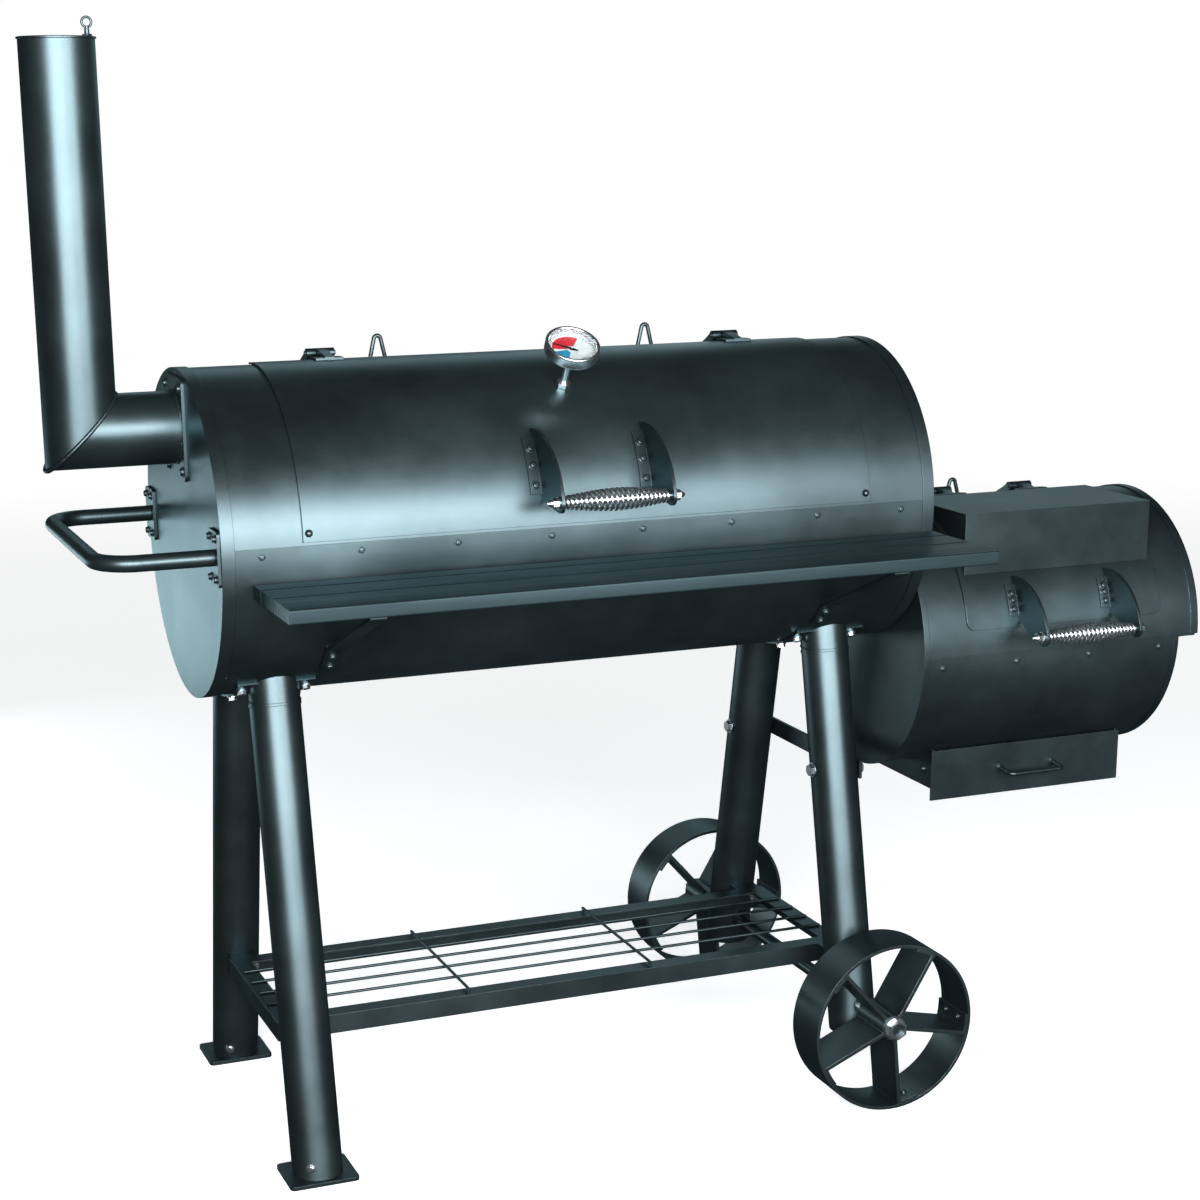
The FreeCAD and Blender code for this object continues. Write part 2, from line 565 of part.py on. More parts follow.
def handle(prefix, x_mid, axis_z, panel_r, grip_deg, tip_deg, low_deg):
    """Two horn-shaped brackets with bolted flanges, a rod with end nuts, and a coil spring grip."""
    rod_y, rod_z = radial(grip_deg, panel_r + v.grip_reach, axis_z)
    tip = radial(tip_deg, panel_r, axis_z)
    low = radial(low_deg, panel_r, axis_z)
    between = radial((tip_deg + low_deg) / 2, panel_r, axis_z)
    bulge = radial(grip_deg + 0.43 * (tip_deg - grip_deg), panel_r + v.fin_bulge, axis_z)
    eye = v.fin_eye_r
    fins = []
    for side in (-1, 1):
        x = x_mid + side * v.grip_span / 2 - v.fin_t / 2
        at = [Vector(x, y, z) for y, z in (tip, bulge, (rod_y - eye, rod_z), (rod_y, rod_z - eye), low, between)]
        corner = Vector(x, rod_y - eye * 0.7071, rod_z - eye * 0.7071)
        edges = [Part.Arc(at[0], at[1], at[2]).toShape(), Part.Arc(at[2], corner, at[3]).toShape()]
        edges += [Part.makeLine(at[3], at[4]), Part.Arc(at[4], at[5], at[0]).toShape()]
        fin = Part.Face(Part.Wire(edges)).extrude(Vector(v.fin_t, 0, 0))
        fin = fin.cut(Part.makeCylinder(v.grip_rod_r, 30, Vector(x - 10, rod_y, rod_z), Vector(1, 0, 0)))
        flange = Part.makeCylinder(panel_r + v.sheet_t, 16, Vector(x - 14, 0, axis_z), Vector(1, 0, 0))
        flange = flange.cut(Part.makeCylinder(panel_r, 16, Vector(x - 14, 0, axis_z), Vector(1, 0, 0)))
        rays = []
        for deg in (low_deg + 2, tip_deg - 4):
            rays.append(radial(deg, panel_r - 20, axis_z))
            rays.append(radial(deg, panel_r + 20, axis_z))
        wedge = profile_yz([rays[0], rays[1], rays[3], rays[2]], x - 14, 16)
        fins.append(fin.fuse(flange.common(wedge)).removeSplitter())
        for deg in (low_deg + 5, (low_deg + tip_deg) / 2 - 1, tip_deg - 8):
            y, z = radial(deg, panel_r + v.sheet_t, axis_z)
            out = Vector(0, -math.cos(math.radians(deg)), math.sin(math.radians(deg)))
            fins.append(screw_head(Vector(x - 7, y, z), out, v.small_head_r * 0.8, v.small_head_h))
    keep(solid(prefix + "_fins", Part.makeCompound(fins), spot(0, 0, 0)), prefix + "_handle_fins")
    reach = v.grip_span / 2 + v.fin_t / 2
    left, right = x_mid - reach, x_mid + reach
    parts = [rod(Vector(left, rod_y, rod_z), Vector(right, rod_y, rod_z), v.grip_rod_r)]
    for x, way in ((left, -1), (right, 1)):
        away = Vector(way, 0, 0)
        washer = Part.makeCylinder(7.5, 1.6, Vector(x, rod_y, rod_z), away)
        nut = hexagon(Vector(x + way * 1.6, rod_y, rod_z), away, 6.8, 7.0)
        dome = Part.makeCone(5.6, 2.0, 6.0, Vector(x + way * 8.6, rod_y, rod_z), away)
        parts.append(washer.fuse(nut).fuse(dome))
    keep(solid(prefix + "_rod", parts[0].fuse(parts[1:]).removeSplitter(), spot(0, 0, 0)), prefix + "_handle_rod")
    inner = v.grip_span / 2 - v.fin_t / 2 - v.coil_wire_r - 0.6
    coil = coil_spring(Vector(x_mid, rod_y, rod_z), inner)
    keep(solid(prefix + "_spring", coil, spot(0, 0, 0)), prefix + "_handle_spring")


def coil_spring(middle, half):
    """A coil that swells at its middle, round a line along X."""
    steps = int(v.coil_turns * 10)
    points = []
    for i in range(steps + 1):
        s = i / steps
        swell = math.sin(math.pi * s) ** 1.5
        r = v.coil_end_r + (v.coil_mid_r - v.coil_end_r) * swell
        a = 2 * math.pi * v.coil_turns * s
        points.append(middle + Vector(-half + 2 * half * s, r * math.cos(a), r * math.sin(a)))
    curve = Part.BSplineCurve()
    curve.interpolate(points)
    path = Part.Wire([curve.toShape()])
    ring = Part.Wire([Part.makeCircle(v.coil_wire_r, points[0], curve.tangent(curve.FirstParameter)[0])])
    return path.makePipeShell([ring], True, True)


def hexagon(base, out, radius, height):
    """A hexagonal head or nut standing on a point, along a direction."""
    side = Vector(1, 0, 0) if abs(out.x) < 0.9 else Vector(0, 1, 0)
    across = out.cross(side).normalize()
    corners = [base + Rotation(out, 60 * i).multVec(across) * radius for i in range(7)]
    return Part.Face(Part.makePolygon(corners)).extrude(Vector(out).normalize() * height)


def screw_head(base, out, radius, height):
    """A round-headed screw with a washer, standing on a surface."""
    washer = Part.makeCylinder(radius * 1.3, 1.0, base, out)
    dome = Part.makeCylinder(radius, height, base + Vector(out).normalize() * 1.0, out)
    return washer.fuse(dome.makeFillet(radius * 0.45, [dome.Edges[0]])).removeSplitter()


def hex_bolt(base, out, radius, height):
    washer = Part.makeCylinder(radius * 1.25, 1.4, base, out)
    return washer.fuse(hexagon(base + Vector(out).normalize() * 1.4, out, radius, height)).removeSplitter()


# ---------------------------------------------------------------- thermometer

def thermometer():
    turn = radial_turn(v.dial_deg)
    y, z = radial(v.dial_deg, lid_r, v.axis_z)
    home = Placement(world(v.dial_x, y, z), turn)
    back = v.dial_stand
    face = back + v.case_depth
    case = Part.makeCylinder(v.dial_r, v.case_depth, Vector(0, 0, back))
    case = case.makeFillet(2.2, [edge for edge in case.Edges if edge.isClosed() and edge.CenterOfMass.z < back + 1][:1])
    case = case.cut(Part.makeCylinder(v.dial_r - 2.6, v.case_depth, Vector(0, 0, back + 5)))
    bezel = Part.makeTorus(v.dial_r - 1.6, 1.9, Vector(0, 0, face - 0.4))
    boss = Part.makeCone(5.0, 8.5, 16, Vector(0, 0, back - 16), Vector(0, 0, 1))
    stem = Part.makeCylinder(v.stem_r - 0.2, back, Vector(0, 0, 0))
    nut = hexagon(Vector(0, 0, 0.4), Vector(0, 0, 1), 9.0, 6.0)
    probe = Part.makeCylinder(v.stem_r - 1.5, v.probe_len, Vector(0, 0, -v.probe_len))
    thread = Part.makeCylinder(v.stem_r - 0.3, 6.0, Vector(0, 0, -6))
    body = case.fuse([bezel, boss, stem, nut, probe, thread]).removeSplitter()
    keep(solid("thermometer_body", body, home), "thermometer_body")
    dial = Part.makeCylinder(v.dial_r - 2.7, 1.0, Vector(0, 0, back + 5))
    pivot = Part.makeCylinder(1.0, 3.2, Vector(0, 0, back + 6))
    keep(solid("thermometer_dial", dial.fuse(pivot), home), "thermometer_dial")
    glass = Part.makeCylinder(v.dial_r - 2.7, 1.2, Vector(0, 0, face - 3.0))
    keep(solid("thermometer_glass", glass, home), "thermometer_glass")
    low = back + 6 + v.needle_fit
    outline = [Vector(-3, -1.6, low), Vector(-8, -0.8, low), Vector(-8, 0.8, low), Vector(-3, 1.6, low)]
    outline += [Vector(0, 3.0, low), Vector(4, 1.6, low), Vector(v.dial_r - 9, 0, low), Vector(4, -1.6, low)]
    outline += [Vector(0, -3.0, low), Vector(-3, -1.6, low)]
    needle = Part.Face(Part.makePolygon(outline)).extrude(Vector(0, 0, 0.7))
    hub = Part.makeCylinder(2.2, 1.6, Vector(0, 0, low))
    needle = needle.fuse(hub).cut(Part.makeCylinder(1.0 + v.pin_fit, 20, Vector(0, 0, back)))
    turned = Placement(home.Base, turn.multiply(Rotation(Vector(0, 0, 1), 150)))
    keep(solid("thermometer_needle", needle, turned), "thermometer_needle")


# ---------------------------------------------------------------- chimney and push handle

def chimney():
    z = v.axis_z + v.chimney_axis
    x = -v.chimney_x
    path = Part.makePolygon([Vector(-v.flange_t, 0, z), Vector(x, 0, z), Vector(x, 0, v.chimney_top)])
    outer = Part.Wire([Part.makeCircle(v.chimney_r, Vector(-v.flange_t, 0, z), Vector(-1, 0, 0))])
    inner = Part.Wire([Part.makeCircle(v.chimney_r - v.chimney_wall, Vector(-v.flange_t, 0, z), Vector(-1, 0, 0))])
    tube = path.makePipeShell([outer], True, False, 1).cut(path.makePipeShell([inner], True, False, 1))
    long_r = v.chimney_r * math.sqrt(2)
    turn = Rotation(Vector(1, 0, 1), Vector(0, 1, 0), Vector(-1, 0, 1), "ZXY")
    flat = Part.Ellipse(Vector(0, 0, 0), long_r, v.chimney_r).toShape()
    flat.Placement = Placement(Vector(x, 0, z), turn)
    start = flat.valueAt(flat.FirstParameter)
    ring = Part.Wire([Part.makeCircle(v.bead_r, start, flat.tangentAt(flat.FirstParameter))])
    bead = Part.Wire([flat]).makePipeShell([ring], True, True)
    bead = bead.cut(Part.makeCylinder(v.chimney_r - 1, 400, Vector(x, 0, z), Vector(0, 0, 1)))
    lug = Part.makeBox(12, 12, 8, Vector(x + v.eye_offset - 6, -6, v.chimney_top - 12))
    lug = lug.common(Part.makeCylinder(v.chimney_r - v.chimney_wall, 60, Vector(x, 0, v.chimney_top - 40)))
    web = Part.makeBox(v.chimney_r, 4, 8, Vector(x + v.eye_offset, -2, v.chimney_top - 12))
    web = web.common(Part.makeCylinder(v.chimney_r - v.chimney_wall, 60, Vector(x, 0, v.chimney_top - 40)))
    hole = Part.makeCylinder(v.pin_r + v.pin_fit, 40, Vector(x + v.eye_offset, 0, v.chimney_top - 30))
    pipe = tube.fuse([bead, lug, web]).cut(hole).removeSplitter()
    keep(solid("chimney_pipe", pipe, spot(0, 0, 0)), "chimney_pipe")

    plate = PartBody("chimney_flange")
    plate.rounded_plate("YZ_Plane", "flange_w", "flange_h", "flange_t", "8")
    bore = plate.sketch("YZ_Plane")
    plate.circle(bore, "chimney_r - chimney_wall", 0.0, 0.0)
    plate.pocket_through(bore)
    plate.thing.Placement = spot(-v.flange_t / 2, 0, z)
    keep(plate.thing, "chimney_flange")


def chimney_cap():
    """The swinging cap disc, turned by its eye bolt."""
    x = -v.chimney_x
    low = v.chimney_top + 0.3
    disc = Part.makeCylinder(v.chimney_r + v.cap_over, v.damper_plate_t, Vector(x, 0, low))
    disc = disc.makeFillet(1.0, [edge for edge in disc.Edges if edge.isClosed() and edge.CenterOfMass.z > low + 1])
    px = x + v.eye_offset
    shank = Part.makeCylinder(v.pin_r, 24, Vector(px, 0, low - 13))
    shank = shank.fuse(Part.makeCylinder(v.pin_r - 0.4, 12, Vector(px, 0, low + 2)))
    nut = hexagon(Vector(px, 0, low + v.damper_plate_t), Vector(0, 0, 1), 6.0, 3.0)
    eye = Part.makeTorus(5.6, 1.5, Vector(px, 0, low + v.damper_plate_t + 16.2), Vector(0, 1, 0))
    keep(solid("chimney_cap", disc.fuse([shank, nut, eye]).removeSplitter(), spot(0, 0, 0)), "chimney_cap")


def push_handle():
    z = v.axis_z
    points = [Vector(-v.pad_t, v.push_half, z), Vector(-v.push_reach, v.push_half, z)]
    points += [Vector(-v.push_reach, -v.push_half, z), Vector(-v.pad_t, -v.push_half, z)]
    keep(solid("push_tube", bent_rod(points, v.push_r, v.push_bend), spot(0, 0, 0)), "push_handle")
    pads = []
    for side in (-1, 1):
        plate = PartBody("pad_%s" % ("front" if side < 0 else "rear"))
        plate.rounded_plate("YZ_Plane", "pad_w", "pad_h", "pad_t", "5")
        plate.thing.Placement = Placement(Vector(-v.pad_t / 2, side * v.push_half, z), Rotation())
        pads.append(plate.thing)
    both = group("push_handle_pads", pads)
    both.Placement = spot(0, 0, 0)
    keep(both, "push_handle_flanges")


# ---------------------------------------------------------------- shelf

def shelf():
    back = -v.shelf_back
    for name, width in (("slat_rear", v.slat_rear), ("slat_mid", v.slat_mid), ("slat_front", v.slat_front)):
        plank = PartBody("shelf_" + name)
        drawing = plank.sketch("YZ_Plane")
        plank.rectangle(drawing, name, "shelf_t")
        raised = plank.pad(drawing, "shelf_len")
        names = []
        for number, edge in enumerate(raised.Shape.Edges, start=1):
            if abs(edge.tangentAt(edge.FirstParameter).x) > 0.99:
                names.append("Edge%d" % number)
        soft = plank.thing.newObject("PartDesign::Fillet", "soft_" + name)
        soft.Base = (raised, names)
        soft.Radius = 2.0
        doc.recompute()
        middle = back - width / 2
        plank.thing.Placement = spot(v.shelf_x + v.shelf_len / 2, middle, v.shelf_z - v.shelf_t / 2)
        keep(plank.thing, "shelf_" + name.replace("mid", "middle"))
        back -= width + v.slat_gap


def shelf_support_x():
    inset = (v.shelf_len - 670.0) / 2 - 11.0
    return v.shelf_x + inset, v.shelf_x + inset + 670.0


def shelf_supports():
    """Two triangular flat-bar supports, bolted under the slats and to the barrel."""
    under = v.shelf_z - v.shelf_t
    drum = Part.makeCylinder(v.barrel_r, 2000, Vector(-200, 0, v.axis_z), Vector(1, 0, 0))
    front = -shelf_front + 12
    low = radial(-v.strut_low_deg, v.barrel_r + v.strut_t, v.axis_z)
    pieces = []
    for x in shelf_support_x():
        start = x - v.strut_w / 2
        top = Part.makeBox(v.strut_w, shelf_front - 12 - 150, v.strut_t, Vector(start, front, under - v.strut_t))
        away = radial(-v.strut_low_deg - 1.6, v.barrel_r + v.strut_t, v.axis_z)
        diagonal = [(front, under - v.strut_t), (front + 12, under - v.strut_t), low, away]
        bar = profile_yz(diagonal, start, v.strut_w)
        foot = Part.makeCylinder(v.barrel_r + v.strut_t, v.strut_w, Vector(start, 0, v.axis_z), Vector(1, 0, 0))
        rays = []
        for deg in (-v.strut_low_deg + 1, -v.strut_foot_deg):
            rays.append(radial(deg, v.barrel_r - 20, v.axis_z))
            rays.append(radial(deg, v.barrel_r + 20, v.axis_z))
        foot = foot.common(profile_yz([rays[0], rays[1], rays[3], rays[2]], start, v.strut_w))
        pieces.append(top.fuse([bar, foot]).cut(drum).removeSplitter())
    keep(solid("supports", Part.makeCompound(pieces), spot(0, 0, 0)), "shelf_supports")


# ---------------------------------------------------------------- legs

def leg_line(z, side):
    """The y of a leg's centre line at a height."""
    return side * (v.leg_foot_y - v.leg_splay * z)


def leg_axis(side):
    return Vector(0, -side * v.leg_splay, 1).normalize()


def leg_seam_z():
    """Height of the joint between a leg and its stub, on the centre line."""
    z = v.axis_z - v.barrel_r
    for _ in range(40):
        y = leg_line(z, 1)
        z = v.axis_z - math.sqrt(v.barrel_r ** 2 - y ** 2)
    return z - v.stub_len - 8


def tube_on_line(x, side, low, high, radius):
    start = Vector(x, leg_line(low, side), low)
    end = Vector(x, leg_line(high, side), high)
    return rod(start, end, radius)


def legs():
    seam = leg_seam_z()
    for end_name, x in (("left", v.leg_x), ("right", v.leg_x + v.leg_pitch)):
        for side_name, side in (("front", -1), ("rear", 1)):
            low = v.foot_t if end_name == "left" else v.short_leg_z
            outer = tube_on_line(x, side, -60, seam, v.leg_r)
            inner = tube_on_line(x, side, -80, seam + 10, v.leg_r - v.leg_wall)
            shape = outer.cut(inner).cut(Part.makeBox(400, 900, 300, Vector(x - 200, -450, low - 300)))
            if end_name == "right":
                way = Vector(0, 1, 0)
                shape = shape.cut(Part.makeCylinder(v.axle_r, 900, Vector(x, -450, v.wheel_r), way))
            label = "leg_%s_%s" % (end_name, side_name)
            keep(solid(label, shape, spot(0, 0, 0)), label)


def leg_saddles():
    """Curved plates under the barrel, each with the short stub that a leg joins."""
    seam = leg_seam_z()
    drum = Part.makeCylinder(v.barrel_r, 2000, Vector(-200, 0, v.axis_z), Vector(1, 0, 0))
    thick = v.barrel_r + v.saddle_t
    pieces = []
    for x in (v.leg_x, v.leg_x + v.leg_pitch):
        for side in (-1, 1):
            stub = tube_on_line(x, side, seam, v.axis_z, v.leg_r)
            stub = stub.cut(tube_on_line(x, side, seam - 20, v.axis_z + 40, v.leg_r - v.leg_wall)).cut(drum)
            ring = tube_on_line(x, side, seam, seam + 3.2, v.leg_r + 0.9)
            ring = ring.cut(tube_on_line(x, side, seam - 20, v.axis_z, v.leg_r - 0.5))
            sheet_piece = Part.makeCylinder(thick, v.saddle_w, Vector(x - v.saddle_w / 2, 0, v.axis_z), Vector(1, 0, 0))
            rays = []
            for deg in (-57.0, -86.0):
                for reach in (v.barrel_r - 20, v.barrel_r + 20):
                    y, z = radial(deg, reach, v.axis_z)
                    rays.append((y if side < 0 else -y, z))
            outline = [rays[0], rays[1], rays[3], rays[2]]
            sheet_piece = sheet_piece.common(profile_yz(outline, x - v.saddle_w / 2, v.saddle_w))
            pieces.append(sheet_piece.fuse([stub, ring]).cut(drum).removeSplitter())
    keep(solid("saddles", Part.makeCompound(pieces), spot(0, 0, 0)), "leg_saddles")


def foot_plates():
    pieces = []
    for side in (-1, 1):
        plate = Part.makeBox(v.foot_x, v.foot_y, v.foot_t)
        plate = plate.makeFillet(6.0, [edge for edge in plate.Edges if abs(edge.tangentAt(0).z) > 0.9])
        plate.Placement = Placement(Vector(v.leg_x - v.foot_x / 2, side * v.leg_foot_y - v.foot_y / 2, 0), Rotation())
        inner_r = v.leg_r - v.leg_wall - v.spigot_fit
        spigot = tube_on_line(v.leg_x, side, -20, v.spigot_h, inner_r)
        spigot = spigot.cut(tube_on_line(v.leg_x, side, -30, v.spigot_h + 10, inner_r - 3))
        base = Part.makeBox(300, 300, 60, Vector(v.leg_x - 150, side * v.leg_foot_y - 150, v.foot_t - 60))
        pieces.append(plate.fuse(spigot.cut(base)).removeSplitter())
    keep(solid("feet", Part.makeCompound(pieces), spot(0, 0, 0)), "foot_plates")


def axle():
    bar = cylinder("axle_bar", "axle_r", "2 * wheel_out + 12")
    bar.Placement = spot(v.leg_x + v.leg_pitch, -v.wheel_out - 6, v.wheel_r, ALONG_Y)
    keep(bar, "axle")
    nuts = []
    x = v.leg_x + v.leg_pitch
    for side in (-1, 1):
        out = Vector(0, side, 0)
        bore = Part.makeCylinder(v.axle_r, 900, Vector(x, -450, v.wheel_r), Vector(0, 1, 0))
        washer = Part.makeCylinder(15.0, 1.4, Vector(x, side * (v.wheel_out + 0.6), v.wheel_r), out)
        nut = hexagon(Vector(x, side * (v.wheel_out + 2.0), v.wheel_r), out, 13.0, 9.0)
        nuts.append(washer.fuse(nut).cut(bore))
        near = leg_line(v.wheel_r, side) + side * (v.leg_r + 2.2)
        far = side * (v.wheel_out - v.wheel_w - 0.6)
        spacer = rod(Vector(x, near, v.wheel_r), Vector(x, far, v.wheel_r), 12.5)
        leg_body = tube_on_line(x, side, 0, 260, v.leg_r)
        nuts.append(spacer.cut(bore).cut(leg_body))
    keep(solid("nuts", Part.makeCompound(nuts), spot(0, 0, 0)), "axle_nuts")


def leg_brace():
    bar = box("brace_bar", "brace_t", "2 * brace_half", "brace_h")
    bar.Placement = spot(v.leg_x + v.leg_pitch + v.leg_r, -v.brace_half, v.brace_z - v.brace_h / 2)
    keep(bar, "leg_brace")


# ---------------------------------------------------------------- rack

def rack():
    low_x = v.leg_x - v.rack_out
    high_x = v.leg_x + v.leg_pitch + v.rack_out
    wide, thin, half, top = v.angle_w, v.angle_t, v.rack_half, v.rack_z
    rails = []
    outer = Part.makeBox(high_x - low_x, 2 * half, wide, Vector(low_x, -half, top - wide))
    hollow = Part.makeBox(high_x - low_x - 2 * thin, 2 * (half - thin), wide, Vector(low_x + thin, thin - half, top - wide - thin))
    window = Part.makeBox(high_x - low_x - 2 * wide, 2 * (half - wide), 60, Vector(low_x + wide, wide - half, top - 30))
    frame = outer.cut(hollow).cut(window)
    for x in (v.leg_x, v.leg_x + v.leg_pitch):
        for side in (-1, 1):
            frame = frame.cut(tube_on_line(x, side, 40, 300, v.leg_r + 0.4))
    rails.append(frame.removeSplitter())
    keep(solid("rack", Part.makeCompound(rails), spot(0, 0, 0)), "rack_frame")

    wires = []
    level = top + v.wire_r
    for i in range(4):
        y = (i - 1.5) * v.wire_pitch
        wires.append(rod(Vector(low_x + 4, y, level), Vector(high_x - 4, y, level), v.wire_r))
    count = int((high_x - low_x - 2 * wide) // v.cross_pitch)
    for i in range(1, count + 1):
        x = low_x + i * v.cross_pitch
        wires.append(rod(Vector(x, 6 - half, level + 2 * v.wire_r), Vector(x, half - 6, level + 2 * v.wire_r), v.wire_r))
        for side in (-1, 1):
            block = Vector(x, side * (half - 8), top)
            wires.append(Part.makeCylinder(v.wire_r, 2 * v.wire_r, block, Vector(0, 0, 1)))
    keep(solid("wires", Part.makeCompound(wires), spot(0, 0, 0)), "rack_wires")

    tabs = []
    for x in (v.leg_x, v.leg_x + v.leg_pitch):
        for side in (-1, 1):
            y = side * half if side > 0 else side * (half + 30)
            tab = Part.makeBox(36, 30, wide + 8, Vector(x - 18, y, top - wide - 8))
            tab = tab.cut(tube_on_line(x, side, 40, 300, v.leg_r))
            beyond = Part.makeBox(80, 200, 200, Vector(x - 40, leg_line(top, side) - (200 if side < 0 else 0), 60))
            tabs.append(tab.cut(beyond))
    keep(solid("tabs", Part.makeCompound(tabs), spot(0, 0, 0)), "rack_brackets")


# ---------------------------------------------------------------- wheels

def wheel(label, side):
    """A flat-bar hoop with five flat-bar spokes bolted inside it, and a hub tube."""
    low = v.wheel_out - v.wheel_w if side > 0 else -v.wheel_out
    rim = Part.makeCylinder(v.wheel_r, v.wheel_w, Vector(0, low, 0), Vector(0, 1, 0))
    rim = rim.cut(Part.makeCylinder(v.wheel_r - v.rim_t, v.wheel_w, Vector(0, low, 0), Vector(0, 1, 0)))
    hub = Part.makeCylinder(v.hub_r, v.wheel_w, Vector(0, low, 0), Vector(0, 1, 0))
    hub = hub.cut(Part.makeCylinder(v.axle_r + v.axle_fit, v.wheel_w, Vector(0, low, 0), Vector(0, 1, 0)))
    pieces = [rim]
    inner = v.wheel_r - v.rim_t - v.weld_gap
    spokes = [hub]
    ring = Part.makeCylinder(inner, v.wheel_w, Vector(0, low, 0), Vector(0, 1, 0))
    shell = ring.cut(Part.makeCylinder(inner - v.spoke_t * 0.8, v.wheel_w, Vector(0, low, 0), Vector(0, 1, 0)))
    for i in range(5):
        turn = Rotation(Vector(0, 1, 0), -(v.spoke_phase + 72 * i))
        bar = Part.makeBox(inner - v.hub_r + 4, v.wheel_w, v.spoke_t, Vector(v.hub_r - 2, low, -v.spoke_t / 2))
        bar = bar.common(ring)
        foot = shell.common(Part.makeBox(40, v.wheel_w, 26, Vector(inner - 30, low, 0)))
        arm = bar.fuse(foot)
        arm = arm.cut(Part.makeCylinder(v.hub_r - 0.5, v.wheel_w, Vector(0, low, 0), Vector(0, 1, 0)))
        arm.Placement = Placement(Vector(0, 0, 0), turn)
        spokes.append(arm)
        for across in (0.28, 0.72):
            a = math.radians(v.spoke_phase + 72 * i + 9)
            reach = inner - v.spoke_t * 0.8
            place = Vector(reach * math.cos(a), low + v.wheel_w * across, reach * math.sin(a))
            pieces.append(screw_head(place, Vector(-math.cos(a), 0, -math.sin(a)), 3.6, 2.6))
    pieces.insert(1, spokes[0].fuse(spokes[1:]).removeSplitter())
    shape = Part.makeCompound(pieces)
    keep(solid(label, shape, spot(v.leg_x + v.leg_pitch, 0, v.wheel_r)), label)


# ---------------------------------------------------------------- ash drawer and grates

def drawer():
    left = fb_x + v.house_x
    wall = v.house_t
    drum = Part.makeCylinder(v.fb_r, 900, Vector(left - 200, 0, v.fb_z), Vector(1, 0, 0))
    outer = Part.makeBox(v.house_len, 2 * v.house_half, 120, Vector(left, -v.house_half, v.house_z))
    inner = Part.makeBox(v.house_len - 2 * wall, 2 * v.house_half, 140, Vector(left + wall, -v.house_half - wall, v.house_z + wall))
    keep(solid("housing", outer.cut(inner).cut(drum), spot(0, 0, 0)), "drawer_housing")

    gap = v.drawer_gap
    floor = v.house_z + wall + 1.0
    wide = v.house_len - 2 * wall - 2 * gap
    deep = 2 * v.house_half - wall - gap
    tray = Part.makeBox(wide, deep, v.drawer_h, Vector(left + wall + gap, -v.house_half, floor))
    scoop = Part.makeBox(wide - 4, deep - 4, v.drawer_h, Vector(left + wall + gap + 2, 2 - v.house_half, floor + 2))
    front_low = v.house_z - v.front_low
    plate = Part.makeBox(v.house_len + 2 * v.front_over, 2.5, v.front_top - front_low,
                         Vector(left - v.front_over, -v.house_half - 2.8, front_low))
    slide = Part.makeBox(wide, 1.0, v.drawer_h, Vector(left + wall + gap, -v.house_half - 0.5, floor))
    shape = tray.cut(scoop).fuse([plate, slide]).removeSplitter()
    keep(solid("tray", shape, spot(0, 0, 0)), "ash_drawer")
    middle = left + v.house_len / 2
    face = -v.house_half - 2.8
    z = front_low + 34
    points = [Vector(middle - v.pull_half, face, z + 3), Vector(middle - v.pull_half, face - v.pull_out, z)]
    points += [Vector(middle + v.pull_half, face - v.pull_out, z), Vector(middle + v.pull_half, face, z + 3)]
    pull = bent_rod(points, v.pull_wire, 7.0)
    clear = Part.makeBox(200, 60, 60, Vector(middle - 100, face, z - 20))
    collars = []
    for side in (-1, 1):
        collars.append(Part.makeCylinder(6.0, 1.6, Vector(middle + side * v.pull_half, face, z + 3), Vector(0, -1, 0)))
    keep(solid("pull", pull.cut(clear).fuse(collars).removeSplitter(), spot(0, 0, 0)), "drawer_pull")


def grates():
    level = v.axis_z - v.grate_drop
    reach = math.sqrt((v.barrel_r - v.sheet_t) ** 2 - v.grate_drop ** 2)
    half = (v.barrel_len - 80) / 2
    thick = v.grate_bar_r
    for number, start in enumerate((38.0, 42.0 + half)):
        pieces = []
        width = reach - 7
        base = level - v.grate_stack + thick
        for y in (-width + 8, -width / 3, width / 3, width - 8):
            pieces.append(rod(Vector(start, y, base), Vector(start + half, y, base), thick))
        count = int((half - 12) // v.grate_pitch)
        for i in range(count + 1):
            x = start + 6 + i * (half - 12) / count
            high = base + thick + v.grate_rod_r
            pieces.append(rod(Vector(x, -width + 4, high), Vector(x, width - 4, high), v.grate_rod_r))
        label = ("cooking_grate_left", "cooking_grate_right")[number]
        keep(solid(label, Part.makeCompound(pieces), spot(0, 0, 0)), label)

    floor = v.fb_z - v.coal_drop
    inner = v.fb_r - v.sheet_t
    pieces = []
    start = fb_x + 14
    length = v.fb_len - v.fb_step - 28
    cross_z = floor - 2 * v.coal_rod_r
    wide = math.sqrt(inner ** 2 - (v.fb_z - cross_z + v.coal_rod_r) ** 2) - 0.3
    for part_way in (0.12, 0.5, 0.88):
        x = start + length * part_way
        pieces.append(rod(Vector(x, -wide, cross_z), Vector(x, wide, cross_z), v.coal_rod_r))
    count = int((2 * wide - 30) // v.coal_pitch)
    for i in range(count + 1):
        y = -wide + 15 + i * (2 * wide - 30) / count
        pieces.append(rod(Vector(start, y, floor), Vector(start + length, y, floor), v.coal_rod_r))
    keep(solid("coals", Part.makeCompound(pieces), spot(0, 0, 0)), "charcoal_grate")


